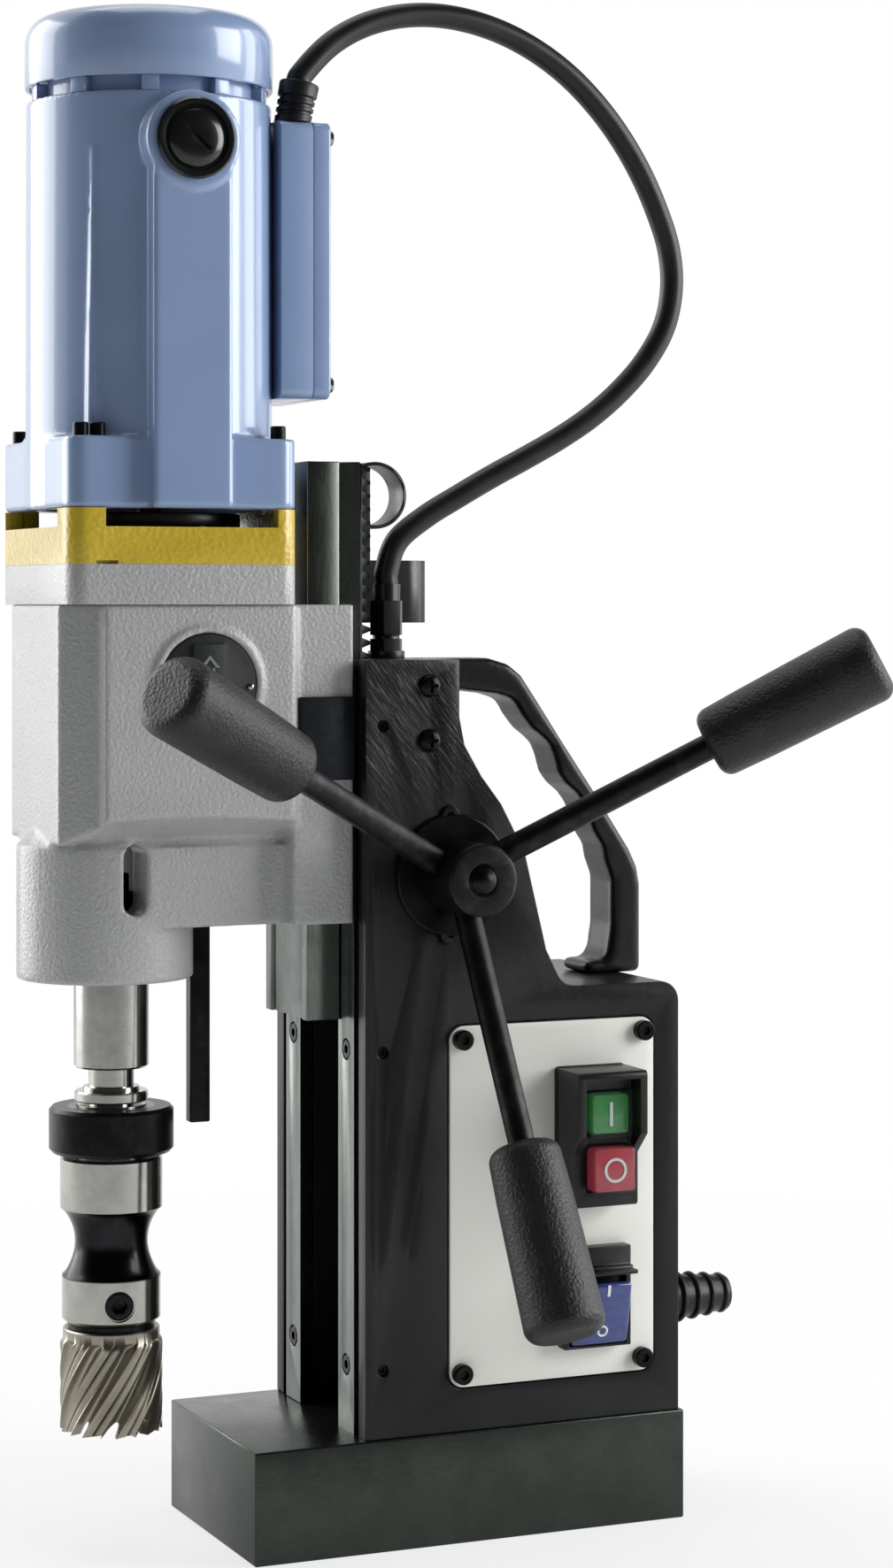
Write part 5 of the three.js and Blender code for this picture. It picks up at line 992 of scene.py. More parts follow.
def build_cable(diameter):
    """The motor's cable, from its sleeve on the connection box to the gland on the frame."""
    line = [Vector(point) * MM for point in smooth_line(CABLE_ROUTE, 8)]
    turns = [2 * math.pi * k / 24 for k in range(24)]
    side = Vector((0.0, 1.0, 0.0))
    rings = []
    for i, place in enumerate(line):
        along = (line[min(i + 1, len(line) - 1)] - line[max(i - 1, 0)]).normalized()
        side = (side - along * side.dot(along)).normalized()
        other = along.cross(side)
        rings.append([(place + (side * math.cos(turn) + other * math.sin(turn)) * diameter / 2) / MM
                      for turn in turns])
    cable = finished(loft("motor_lead", rings), None, "lead", ["motor_cable"], 60)
    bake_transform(cable)


def gearbox_lower():
    """The lower case seen from above: a round nose, straight flanks and a cove at the rear block."""
    nose = [math.radians(5 * k) for k in range(37)]
    near = [(-84.0, -31.0), (-79.6, -31.9), (-76.6, -34.6), (-75.2, -41.0), (-49.2, -41.0)]
    return [*near, *[(x, -y) for x, y in reversed(near)],
            *[(NOSE_AXIS[0] - NOSE_RADIUS * math.sin(turn), NOSE_RADIUS * math.cos(turn)) for turn in nose]]


def under_arch(name, bottom):
    """The room below the upper case, whose underside slopes down towards the lower case."""
    stations = [(-176.0, 284.0, 292.0), (-164.0, 286.6, 293.6), (-150.0, 288.0, 295.3),
                (-136.0, 288.6, 296.2), (-122.0, 288.8, 296.5), (-108.0, 288.8, 296.2),
                (-94.0, 288.6, 295.2), (-82.0, 288.3, 294.0), (-70.0, 288.0, 292.8)]
    rings = []
    for x, low, high in stations:
        section = [(50.0, bottom), (50.0, high + 2.4), (33.0, low)]
        rings.append([*[(x, -y, z) for y, z in section], *[(x, y, z) for y, z in reversed(section)]])
    return loft(name, rings)


def build_gearbox():
    """The housing: an arched upper case, a lower case with a round nose, and its seats and slots."""
    front, rear = HEAD_X
    half, bottom, top, shelf = 46.0, GEARBOX_BOTTOM, GEARBOX_TOP, 284.0
    whole = prism("gear_case", "z", rounded(rectangle((front, rear), (-half, half)), 3.0), (bottom, top))
    tools = [under_arch("under_arch", bottom - 4)]
    for side in (-1, 1):
        corner = [(front - 2, side * 31.0), (front + 14.8, side * 40.6), (front + 14.8, side * 48),
                  (front - 2, side * 48)]
        tools.append(prism("corner", "z", corner, (bottom - 1, top + 2)))
    cut(whole, *tools)
    joined(
        whole,
        prism("lower_case", "z", gearbox_lower(), (bottom, shelf)),
        block("rise", (NOSE_AXIS[0], -76.0), (-31.0, 31.0), (280.0, 290.0)),
        rod("shoulder", "z", NOSE_AXIS, 35.0, (283.5, 292.0), end_radius=27.5),
        block("rear_block", (-75.2, -49.2), (-41.0, 41.0), (bottom, top)),
        rod("nose", "z", NOSE_AXIS, NOSE_RADIUS, (NOSE_BOTTOM, shelf)),
        rod("selector_ring", "y", SELECTOR_AXIS, 23.0, (-47.5, -45.0)),
    )
    room = block("room", (front + 7, rear - 7), (-39.0, 39.0), (297.0, top + 2))
    cut(room, *[block("post", (front, front + 18.3), mirrored(side, 29.0, half), (295.0, top + 4))
                for side in (-1, 1)])
    slot = rounded(rectangle((-143.75, -134.05), (257.1, 285.0)), 4.85)
    cut(
        whole, room,
        block("slide_slot", (-62.5, -47.0), (-24.0, 24.0), (bottom - 2, top + 2)),
        rod("spindle_hole", "z", SPINDLE_AXIS, 15.3, (NOSE_BOTTOM - 2, 299.0)),
        rod("bearing_seat", "z", SPINDLE_AXIS, 24.3, (NOSE_BOTTOM - 2, 243.3)),
        rod("idler_seat", "z", IDLER_AXIS, 4.8, (290.7, 299.0), 40),
        prism("drift_slot", "y", slot, (-half - 2, half + 2)),
        rod("selector_seat", "y", SELECTOR_AXIS, 20.3, (-49.5, -42.1)),
        block("bar_seat", (-105.45, -96.35), (-3.3, 3.3), (NOSE_BOTTOM - 2, 261.9)),
    )
    cast(whole, 1.1, 3)
    finished(whole, "carriage", "grey", ["gearbox_housing"], 60)


def build_head_rings():
    """The lid of the gearbox and the ring around the fan, with its windows."""
    bottom, window = GEARBOX_TOP, 410.3
    lid = prism("gear_case_lid", "z", head_outline(), (bottom, LID_TOP))
    cut(lid, rod("shaft_hole", "z", MOTOR_AXIS, 5.3, (bottom - 2, LID_TOP + 2), 40),
        rod("idler_hole", "z", IDLER_AXIS, 4.8, (bottom - 2, bottom + 4), 40))
    finished(edged(lid, 0.9, 3), "carriage", "grey", ["gearbox_lid"], 40)
    wall = prism("fan_shroud", "z", head_outline(), (LID_TOP, SHROUD_TOP))
    cut(
        wall,
        prism("inside", "z", head_outline(6.0), (LID_TOP - 2, SHROUD_TOP + 2)),
        block("side_window", (-155.4, -83.9), (-50.0, 50.0), (window, SHROUD_TOP + 2)),
        block("front_window", (HEAD_X[0] - 2, MOTOR_AXIS[0]), (-31.3, 41.0), (window, SHROUD_TOP + 2)),
        block("notch", (-159.3, -150.4), (-50.0, -44.7), (LID_TOP - 1, LID_TOP + 1.4)),
    )
    finished(edged(wall, 0.8, 3), "carriage", "yellow", ["fan_ring"], 40)


def build_fan():
    """The cooling fan, whose upper rim is seen through the windows below the motor."""
    fan = cad_copy("fan_wheel", "cooling_fan")
    joined(fan, turned("rim", "z", MOTOR_AXIS, [
        (24.0, 411.0), (36.3, 411.0), (36.8, 411.6), (36.8, 415.9), (36.3, 416.4), (24.0, 416.4)], 72))
    finished(edged(fan, 0.4, 1, 40), "armature", "plastic", ["cooling_fan"], 35)


def build_selector():
    """The disc that changes the gears, with its grip bar, its arrow and a bright index ball."""
    x, z = SELECTOR_AXIS
    face = -46.9
    whole = turned("selector_dial", "y", SELECTOR_AXIS, [
        (0, face + 4.5), (20.0, face + 4.5), (20.0, face + 0.5), (19.5, face), (0, face)], 96)
    joined(whole, prism("grip_bar", "y", rounded_plate(SELECTOR_AXIS, 7, 16, 1.2), (face - 1.0, face + 2)))
    finished(edged(whole, 0.25, 2, 45), "selector", "dial", ["selector_knob"], 40)
    outline = [(x, z + 11.5), (x + 4.2, z + 6.6), (x + 2.1, z + 6.6), (x + 2.1, z + 2.0), (x - 2.1, z + 2.0),
               (x - 2.1, z + 6.6), (x - 4.2, z + 6.6)]
    arrow = prism("selector_arrow", "y", outline, (face - 1.35, face - 0.9))
    inner = [(x + (u - x) * 0.62, z + 6.4 + (v - z - 6.4) * 0.66) for u, v in outline]
    cut(arrow, prism("arrow_inside", "y", inner, (face - 2, face)))
    finished(arrow, "selector", "pale_dial")
    ball = turned("selector_index", "y", (x + 17.4, z - 1.0), [
        (0, face - 1.2), (0.7, face - 1.1), (1.2, face - 0.7), (1.4, face), (0, face + 0.4)], 24)
    finished(ball, "selector", "bright")


def build_slide():
    """The bar that slides on the rails, its rack, the side plate and the torque bar."""
    dressed_copy("slide_column", "slide_bar", "carriage", "ground", 0.5, 2)
    dressed_copy("feed_rack", "rack", "carriage", "dark", 0.12, 1, angle=25)
    dressed_copy("gib_plate", "side_plate", "carriage", "plate", 0.6, 3)
    dressed_copy("reaction_bar", "torque_bar", "carriage", "dark", 0.7, 3)


def band(name, axis, centre, radius, thickness, opening, facing, span):
    """A spring clip: most of a ring of sheet steel."""
    sweep = 360 - opening
    count = round(sweep / 5)
    turns = [math.radians(facing - sweep / 2 + sweep * k / count) for k in range(count + 1)]

    def arc(r):
        return [(centre[0] + r * math.cos(turn), centre[1] + r * math.sin(turn)) for turn in turns]

    return prism(name, axis, [*arc(radius), *reversed(arc(radius - thickness))], span)


def build_bracket():
    """The bent strip behind the motor, with one clip for the hose and one for the bottle."""
    side, bottom, top = 51.8, 372.0, 399.0
    depth = (side, side + 2)
    whole = block("hose_holder", (-57.5, -55.5), (24.0, side + 2), (381.6, top))
    joined(
        whole,
        block("plate", (-57.5, 13.8), depth, (381.6, top)),
        block("tab", (-20.0, 13.8), depth, (bottom, top)),
        block("riser", (-20.0, -4.0), depth, (bottom, 438.0)),
        band("hose_clip", "y", (-1.5, 427.1), 14.5, 1.6, 100, 0, (side, side + 16)),
        band("bottle_clip", "z", (13.8, side + 12), 12.0, 1.6, 80, -90, (bottom, top)),
    )
    finished(edged(whole, 0.35, 2, 40), "carriage", "bracket", ["hose_bracket"], 32)


# Pieces that turn

def build_spindle():
    """The spindle with the taper inside it, and the slot across it for driving the arbor out."""
    x = SPINDLE_AXIS[0]
    whole = turned("drill_spindle", "z", SPINDLE_AXIS, [
        (0, 272.0), (9.2, 272.0), (11.8, 194.0), (14.3, 194.0), (15.0, 194.8), (15.0, 308.0), (10.0, 308.0),
        (10.0, 338.0), (0, 338.0)], 96)
    cut(whole, block("drift", (x - 4.85, x + 4.85), (-17.0, 17.0), (257.0, 285.0)))
    finished(whole, "spindle", "bright", ["spindle"], 35)


def waist_profile(top, bottom):
    """The curved waist of the arbor, from its upper edge to its lower one."""
    upper, thin, lower = 20.5, 14.6, 19.8
    result = []
    for k in range(1, 24):
        down = k / 24
        side = upper + (lower - upper) * down
        result.append((side - (side - thin) * math.sin(math.pi * down) ** 0.72, top + (bottom - top) * down))
    return result


def radial(made):
    """Turns a piece that lies along X to the set screw's place on the arbor."""
    turn = Matrix.Rotation(math.radians(262), 4, "Z")
    made.data.transform(Matrix.Translation(Vector((SPINDLE_AXIS[0], 0, 100.7)) * MM) @ turn)
    return made


def build_arbor():
    """The arbor with its shank, its collars and its waist, and the screw that holds the cutter."""
    shank = 11.8 - 71 * (11.8 - 9.2) / 78 - 0.3
    whole = turned("tool_arbor", "z", SPINDLE_AXIS, [
        (0, 265.0), (shank, 265.0), (11.5, 194.0), (9.1, 193.7), (9.1, 186.5), (11.2, 186.3), (11.4, 184.6),
        (14.2, 184.6), (14.8, 184.0), (14.8, 180.9), (14.2, 180.3), (9.1, 180.3), (9.1, 178.9), (13.7, 178.9),
        (13.7, 158.5), (19.6, 158.5), (20.5, 157.4), (20.5, 137.8), *waist_profile(137.8, 110.5),
        (19.8, 110.5), (19.8, 93.7), (18.5, 92.3), (9.8, 92.3), (9.8, 120.3), (3.45, 120.3), (3.45, 148.3),
        (0, 148.3)], 128)
    cut(whole, *[radial(rod("screw_hole", "x", (0, 0), radius, (start, 24.0), sides))
                 for radius, start, sides in ((5.8, 9.5, 48), (6.3, 18.3, 64))])
    finished(whole, "spindle", "arbor", ["arbor"], 35)
    screw = rod("arbor_set_screw", "x", (0, 0), 5.5, (10.1, 18.2), 48)
    cut(screw, rod("hex", "x", (0, 0), 3.4, (14.2, 22.0), 6))
    finished(radial(edged(screw, 0.5, 2, 50)), "spindle", "rod", ["set_screw"], 35)


def build_coolant_ring():
    """The ring that brings coolant to the arbor, with its nipple and its seal."""
    whole = turned("coolant_collar", "z", SPINDLE_AXIS, [
        (14.0, 160.0), (23.6, 160.0), (25.0, 161.6), (25.0, 177.0), (23.8, 178.4), (17.6, 178.4),
        (17.2, 177.9), (14.0, 177.9)], 128)
    nipple = turned("nipple", "x", (0, 0), [
        (0, 22.0), (4.5, 22.0), (4.5, 26.5), (3.4, 27.0), (4.2, 28.0), (3.3, 30.6), (1.6, 31.0), (1.6, 26.0),
        (0, 26.0)], 40)
    turn = Matrix.Rotation(math.radians(60), 4, "Z")
    nipple.data.transform(Matrix.Translation(Vector((SPINDLE_AXIS[0], 0, 169.2)) * MM) @ turn)
    joined(whole, nipple)
    finished(whole, "coolant_ring", "dark", ["coolant_ring"], 30)
    cover = turned("collar_seal", "z", SPINDLE_AXIS, [
        (14.1, 177.2), (21.0, 177.2), (21.3, 178.0), (21.0, 178.39), (14.1, 178.39)], 96)
    finished(cover, "coolant_ring", "ground", angle=30)


# The annular cutter

CUTTER = {"flutes": 9, "twist": math.radians(68), "bottom": 48.4, "top": 85.6, "collar": 89.6,
          "outer": 20.5, "root": 17.3, "neck": 19.4, "bore": 15.5}


def cutter_radius(share):
    """The radius across one flute and one land, whose face has a thin groove along it."""
    outer, root = CUTTER["outer"], CUTTER["root"]
    if share < 0.4:
        return root + (outer - root) * (1 - math.sin(math.pi * share / 0.4) ** 0.5)
    groove = 0.9 * max(0.0, 1 - abs(share - 0.72) / 0.035)
    return outer - (0.0 if share < 0.5 else 0.3) - groove


def cutter_foot(share):
    """How far the end of the wall is cut away: a round gullet at each flute, and a raked tip."""
    if share < 0.42:
        return 6.0 * math.sin(math.pi * share / 0.42) ** 0.45
    return 1.6 * (share - 0.42) / 0.58


def cutter_ring(around, radius, height, spread=1.0):
    """One ring of the cutter's wall. The radius and the height are given for each share of a flute."""
    ring = []
    for k in range(around):
        turn = 2 * math.pi * k / around
        share = (k * CUTTER["flutes"] / around) % 1.0
        z = height(share)
        spun = turn + spread * CUTTER["twist"] * (z - CUTTER["bottom"]) / (CUTTER["top"] - CUTTER["bottom"])
        ring.append((SPINDLE_AXIS[0] + radius(share) * math.cos(spun), radius(share) * math.sin(spun), z))
    return ring


def build_cutter():
    """The twisted wall with its lands and flutes, the teeth, the collar and the shank."""
    bottom, top, collar, neck = (CUTTER[key] for key in ("bottom", "top", "collar", "neck"))
    around, rows = CUTTER["flutes"] * 28, 40

    def plain(radius, height, spread):
        return cutter_ring(around, lambda share: radius, lambda share: height, spread)

    rings = [plain(CUTTER["bore"], 82.0, 1.0),
             cutter_ring(around, lambda share: CUTTER["bore"], lambda share: bottom + cutter_foot(share))]
    for row in range(rows + 1):
        along = row / rows
        ease = max(0.0, (along - 0.93) / 0.07) ** 2
        rings.append(cutter_ring(
            around, lambda share: cutter_radius(share) + (neck - cutter_radius(share)) * ease,
            lambda share: bottom + cutter_foot(share) + (top - bottom - cutter_foot(share)) * along))
    rings += [plain(neck, collar - 0.5, 0.9), plain(neck - 0.5, collar, 0.9)]
    whole = loft("annular_cutter", rings)
    joined(whole, rod("shank", "z", SPINDLE_AXIS, 9.5, (88.0, 120.0), 64))
    cut(whole, rod("pilot_hole", "z", SPINDLE_AXIS, 3.45, (40.0, 122.0), 32))
    finished(whole, "spindle", "cutter", ["cutter"], 38)
    stop = turned("cutter_stop_ring", "z", SPINDLE_AXIS, [
        (9.6, 89.5), (17.0, 89.5), (17.3, 89.8), (17.3, 91.7), (17.0, 92.0), (9.6, 92.0)], 96)
    finished(stop, "spindle", "dark", angle=30)


def build_pilot():
    """The pointed rod inside the cutter."""
    whole = turned("pilot_rod", "z", SPINDLE_AXIS, [
        (0, 54.0), (3.1, 57.8), (3.15, 58.2), (3.15, 148.0), (0, 148.0)], 32)
    finished(whole, "spindle", "bright", ["pilot_pin"], 30)


# The feed wheel

def on_spoke(made, angle):
    """Moves a piece that was turned about Z to one of the three spokes."""
    tilt, turn = math.radians(SPOKE_TILT), math.radians(angle)
    along = Vector((math.cos(tilt) * math.cos(turn), -math.sin(tilt), math.cos(tilt) * math.sin(turn)))
    spin = Vector((0.0, 0.0, 1.0)).rotation_difference(along).to_matrix().to_4x4()
    root = Vector((FEED_AXIS[0], -SPOKE_ROOT, FEED_AXIS[1])) * MM
    made.data.transform(Matrix.Translation(root) @ spin)
    return made


def build_grip(number, angle):
    """One handle of the feed wheel: its grip and its rod."""
    grip = on_spoke(turned(f"handle_grip_{number}", "z", (0, 0), [
        (0, 113.3), (5.7, 113.3), *reversed(quarter(14.4, 113.3, 5.4, -1, 8)), (15.0, 134.0), (15.5, 158.0),
        *quarter(16.0, 189.9, 6.0, 1, 10), (6.0, 189.9), (0, 189.9)], 96), angle)
    cut(grip, on_spoke(rod("bore", "z", (0, 0), 5.6, (100.0, 133.3), 40), angle))
    finished(grip, "feed_wheel", "rubber", [f"feed_grip_{number}"], 60)
    bar = turned(f"handle_rod_{number}", "z", (0, 0), [
        (0, 9.0), (4.6, 9.0), (5.3, 10.0), (5.3, 132.4), (4.8, 133.0), (0, 133.0)], 56)
    finished(on_spoke(bar, angle), "feed_wheel", "rod", [f"feed_rod_{number}"], 30)


def build_hub():
    """The hub with its cap, the feed shaft inside it, and the collar that the shaft runs in."""
    hub = turned("feed_boss", "y", FEED_AXIS, [
        (0, -82.5), (13.2, -82.5), (13.6, -82.35), (14.6, -81.3), (14.6, -53.4), (13.9, -52.6),
        (0, -52.6)], 128)
    cut(hub, rod("bore", "y", FEED_AXIS, 4.6, (-76.3, -50.0), 40),
        rod("cap_seat", "y", FEED_AXIS, 6.7, (-84.0, -79.5), 64),
        *[on_spoke(rod("spoke_seat", "z", (0, 0), 5.6, (8.7, 40.0), 48), angle) for angle in SPOKE_ANGLES])
    finished(edged(hub, 0.3, 2, 40), "feed_wheel", "rod", ["feed_hub"], 30)
    cap = turned("feed_boss_cap", "y", FEED_AXIS, [
        (0, -85.5), (1.6, -85.35), (3.6, -84.5), (5.0, -83.3), (5.6, -82.7), (6.0, -83.05), (6.4, -82.7),
        (6.4, -79.5), (0, -79.5)], 80)
    finished(cap, "feed_wheel", "dark", ["hub_cap"], 40)
    dressed_copy("feed_pinion_shaft", "feed_shaft", "feed_wheel", "dark", 0.2, 1)
    collar = turned("feed_collar", "y", FEED_AXIS, [
        (9.3, -52.3), (23.8, -52.3), (24.5, -51.7), (24.5, CASTING_FACE), (12.3, CASTING_FACE), (12.3, -12.6),
        (9.3, -12.6)], 112)
    finished(collar, "frame", "dark", ["feed_flange"], 30)
    places = [(-11.2, CASTING_FACE, z) for z in (294.6, 246.8)]
    screws("collar_screws", "frame", places, (0.0, -1.0, 0.0), "rod", 4.0, 3.0, 1.9, 1.6)


# Pieces that stay on the frame

def build_casting():
    """The casting, and the screws that set the slide's play."""
    dressed_copy("frame_body", "frame_casting", "frame", "cast", 1.5, 3, 34, 34)
    places = [(-40.0, -47.6, z) for z in (72.5, 200.0, 331.0)]
    screws("gib_screws", "frame", places, (0.0, -1.0, 0.0), "dark", 2.35, 3.0, 1.3, 2.6)


def build_handle():
    """The carrying handle and the two cross-head screws that hold it."""
    handle = edged(cad_copy("lifting_handle", "carry_handle"), 3.6, 3, 40)
    cast(handle, 1.0, 7)
    finished(handle, "frame", "cast", ["carry_handle"], 60)
    x, long, short = -19.8, 2.9, 0.6
    for which, z in (("upper", 347.1), ("lower", 325.0)):
        head = turned(f"handle_bolt_{which}", "y", (x, z), [
            (0, -52.8), (2.0, -52.7), (3.6, -52.1), (4.4, -51.2), (4.6, -50.4), (4.6, CASTING_FACE),
            (2.2, CASTING_FACE), (2.2, -20.0), (0, -20.0)], 64)
        cut(head, *[block("cross", (x - u, x + u), (-56.0, -51.0), (z - v, z + v))
                    for u, v in ((long, short), (short, long))])
        finished(edged(head, 0.12, 1, 50), "frame", "dark", [f"handle_screw_{which}"], 35)


def build_rails():
    """The two rails that the slide runs on, with their screws."""
    for which, side in (("near", -1), ("far", 1)):
        dressed_copy(f"guide_{which}", f"rail_{which}", "frame", "ground", 0.45, 2, angle=25)
        places = [(-43.2, side * 29.9, z) for z in (72.0, 199.7, 327.0)]
        screws(f"guide_{which}_screws", "frame", places, (-1.0, 0.0, 0.0), "dark", 4.1, 4.2, 2.0)


def build_panel():
    """The plate with its screws, the hood of the motor's switch and the frame of the magnet's switch."""
    dressed_copy("switch_panel", "control_panel", "frame", "panel", 0.4, 2)
    places = [(x, PANEL_FACE, z) for x, z in ((-6.0, 203.8), (75.8, 203.8), (-6.2, 68.7), (75.2, 68.7))]
    screws("panel_screws", "frame", places, (0.0, -1.0, 0.0), "dark", 4.1, 3.4, 2.0)
    dressed_copy("motor_switch_hood", "motor_switch_housing", "frame", "plastic",
                 0.9, 3, 40, 35)
    flange = prism("hood_foot", "y", rounded(rectangle((35.4, 67.2), (133.7, 190.8)), 2.0),
                   (PANEL_FACE - 1.6, PANEL_FACE))
    finished(edged(flange, 0.5, 2), "frame", "plastic")
    dressed_copy("magnet_switch_frame", "magnet_switch_bezel", "frame", "plastic",
                 0.8, 3, 40, 35)


def ring_sign(name, centre, outer, inner, face):
    """The ring on a switch."""
    back = face + 0.4
    return turned(name, "y", centre, [(inner, face), (outer, face), (outer, back), (inner, back)], 56)


def build_button(name, body, finish, z, face, inset):
    """A push button: its coloured core, and the clear cap whose wall is about as thick as the inset."""
    centre, back = (SWITCH_X, z), face + 9.0
    wide, high = 9.65, 9.4
    core = prism(name, "y", rounded_plate(centre, wide - inset, high - inset, 1.6), (face + 0.7, back))
    finished(edged(core, 0.7, 3, 50), body, finish, [body], 40)
    shell = prism(f"{name}_cap", "y", rounded_plate(centre, wide, high, 1.4), (face, back))
    cut(shell, prism("hollow", "y", rounded_plate(centre, wide - inset + 0.15, high - inset + 0.15, 1.6),
                     (face + 0.5, back + 2)))
    finished(edged(shell, 0.35, 2, 50), body, "clear", angle=40)


def build_buttons():
    """The two push buttons. The start button is marked with a bar and the stop button with a ring."""
    z, face = 172.4, -68.1
    build_button("start_key", "start_button", "green", z, face, 1.5)
    bar = block("start_key_sign", (SWITCH_X - 0.7, SWITCH_X + 0.7), (face + 0.2, face + 0.6),
                (z - 4.9, z + 4.9))
    finished(bar, "start_button", "white", angle=30)
    z, face = 150.2, -72.1
    build_button("stop_key", "stop_button", "red", z, face, 0.7)
    finished(ring_sign("stop_key_sign", (SWITCH_X, z), 5.0, 3.9, face + 0.2), "stop_button", "white",
             angle=30)


def rocker_cover():
    """The soft cover seen from the side: its face is bowed, and its two ends are rounded off."""
    half, crown, tip = 13.0, 11.2, 11.0
    face = [(-(crown + (tip - crown) * (k / 8) ** 2), 11.4 * k / 8) for k in range(9)]
    end = [(-tip + 1.6 * (1 - math.cos(math.radians(15 * k))), 11.4 + 1.6 * math.sin(math.radians(15 * k)))
           for k in range(1, 7)]
    upper = [*face, *end, (-8.0, half), (-7.6, 9.0)]
    return [*upper, (-5.4, 3.0), (-5.4, -3.0), *[(y, -z) for y, z in reversed(upper[1:])]]


def build_rocker():
    """The magnet's switch, pressed in at its foot, with its bar and its ring."""
    tilt = Matrix.Translation(Vector((52.2, -56.6, 90.65)) * MM) @ Matrix.Rotation(math.radians(12), 4, "X")
    outline = [(y + 6.0, z) for y, z in rocker_cover()]
    cover = edged(prism("magnet_switch_key", "x", outline, (-12.5, 12.5)), 1.3, 3, 30)
    bar = block("rocker_bar_sign", (1.3, 2.5), (-5.35, -5.0), (8.0, 12.8))
    ring = ring_sign("rocker_ring_sign", (0.6, -6.9), 2.4, 1.6, -5.35)
    for made in (cover, bar, ring):
        made.data.transform(tilt)
    finished(cover, "magnet_rocker", "rocker", ["magnet_rocker"], 40)
    for sign in (bar, ring):
        finished(sign, "magnet_rocker", "white", angle=30)


def build_boot():
    """The ribbed boot where the supply lead comes in."""
    core = turned("lead_boot", "x", BOOT_AXIS, [
        (6.0, 93.0), (11.2, 93.0), (11.5, 93.5), (11.5, 100.4), (10.9, 101.0), (9.7, 101.6), (7.4, 128.4),
        (6.9, 129.0), (6.0, 129.0)], 72)
    finished(core, "frame", "lead", ["cord_boot"], 40)
    ribs = ribs_along().made(
        new_object("lead_boot_ribs", bpy.data.meshes.new("lead_boot_ribs")),
        Count=4, Start=Vector((105.4, *BOOT_AXIS)) * MM, End=Vector((126.2, *BOOT_AXIS)) * MM,
        Start_radius=9.7 * MM, End_radius=7.3 * MM, Rib_radius=1.2 * MM, Material=finish_named("lead"))
    finished(ribs, "frame", None, angle=60)


def build_gland():
    """The gland where the motor's cable enters the casting, and its nut."""
    for name, node in (("gland_body", "cable_gland"), ("gland_cap_nut", "gland_nut")):
        dressed_copy(name, node, "frame", "plastic", 0.5, 2, 40, 35)


def paint_node(node, finish):
    """Gives a packed node that nothing replaces a worked finish of its own."""
    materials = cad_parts[node].data.materials
    if len(materials) == 0:
        materials.append(finish)
    for k in range(len(materials)):
        materials[k] = finish


# The add-on's settings

class DrillColours(bpy.types.PropertyGroup):
    """The paint colours of the drill."""
    blue: bpy.props.FloatVectorProperty(
        name="Motor paint", description="Colour of the motor and its connection box", subtype="COLOR",
        size=4, min=0.0, max=1.0, default=colour(132, 154, 190))
    yellow: bpy.props.FloatVectorProperty(
        name="Shroud paint", description="Colour of the ring around the cooling fan", subtype="COLOR",
        size=4, min=0.0, max=1.0, default=colour(204, 177, 48))
    grey: bpy.props.FloatVectorProperty(
        name="Gearbox paint", description="Colour of the gearbox and its lid", subtype="COLOR",
        size=4, min=0.0, max=1.0, default=colour(176, 177, 176))
    panel: bpy.props.FloatVectorProperty(
        name="Panel paint", description="Colour of the plate that carries the switches", subtype="COLOR",
        size=4, min=0.0, max=1.0, default=colour(230, 230, 223))


class DrillSurface(bpy.types.PropertyGroup):
    """Sizes of the surface detail and of the soft parts."""
    grain: bpy.props.FloatProperty(
        name="Grain", description="How coarse the paint and the rubber are, against the real ones",
        default=1.0, min=0.2, max=5.0, subtype="FACTOR")
    cable_diameter: bpy.props.FloatProperty(
        name="Cable diameter", description="Diameter of the motor's cable", default=0.01, min=0.004, max=0.02,
        subtype="DISTANCE", unit="LENGTH")


class DrillStage(bpy.types.PropertyGroup):
    """The camera and the light."""
    lens: bpy.props.FloatProperty(
        name="Focal length", description="Focal length of the camera, in millimetres for a 36 mm frame",
        default=78.93, min=20.0, max=300.0)
    shift: bpy.props.FloatProperty(
        name="Vertical shift", description="How far the frame is moved up or down, in frame heights",
        default=-0.1139, min=-0.5, max=0.5)
    sky: bpy.props.FloatProperty(
        name="Sky level", description="Strength of the even light from all around", default=0.24,
        min=0.0, max=2.0)
    key: bpy.props.FloatProperty(
        name="Key light", description="Power of the large soft light on the left", default=30.0, min=0.0,
        max=200.0, subtype="POWER", unit="POWER")


# The operators, one for each piece or group of like pieces

class BuildStage(bpy.types.Operator):
    """Builds the floor, the lights, the sky and the camera"""
    bl_idname = "drill.build_stage"
    bl_label = "Stage"

    def execute(self, context):
        settings = context.scene.drill_stage
        context.scene.view_settings.view_transform = "Standard"
        build_camera(settings)
        build_world(settings.sky)
        floor = from_faces("floor", [(-3000, -2600, 0), (3000, -2600, 0), (3000, 3400, 0), (-3000, 3400, 0)],
                           [(0, 1, 2, 3)])
        floor.data.materials.append(pale_floor(colour(240, 240, 240), 0.72, 0.3))
        for name, place, width, height, share in (
                ("key_light", (-1.15, 1.15, 0.8), 1.3, 1.6, 0.9),
                ("front_light", (1.6, -1.0, 0.85), 1.0, 1.2, 1.1),
                ("top_light", (0.0, 0.3, 1.9), 1.0, 1.0, 0.25),
                ("side_light", (1.3, -0.05, 0.6), 0.35, 1.3, 0.2)):
            soft_light(name, place, width, height, settings.key * share)
        return {"FINISHED"}


class BuildCable(bpy.types.Operator):
    """Builds the motor's cable"""
    bl_idname = "drill.build_cable"
    bl_label = "Motor cable"

    def execute(self, context):
        build_cable(context.scene.drill_surface.cable_diameter)
        return {"FINISHED"}


class BuildMotorHousing(bpy.types.Operator):
    """Builds the motor housing and the screws on its flange"""
    bl_idname = "drill.build_motor_housing"
    bl_label = "Motor housing"

    def execute(self, context):
        build_motor_housing()
        return {"FINISHED"}


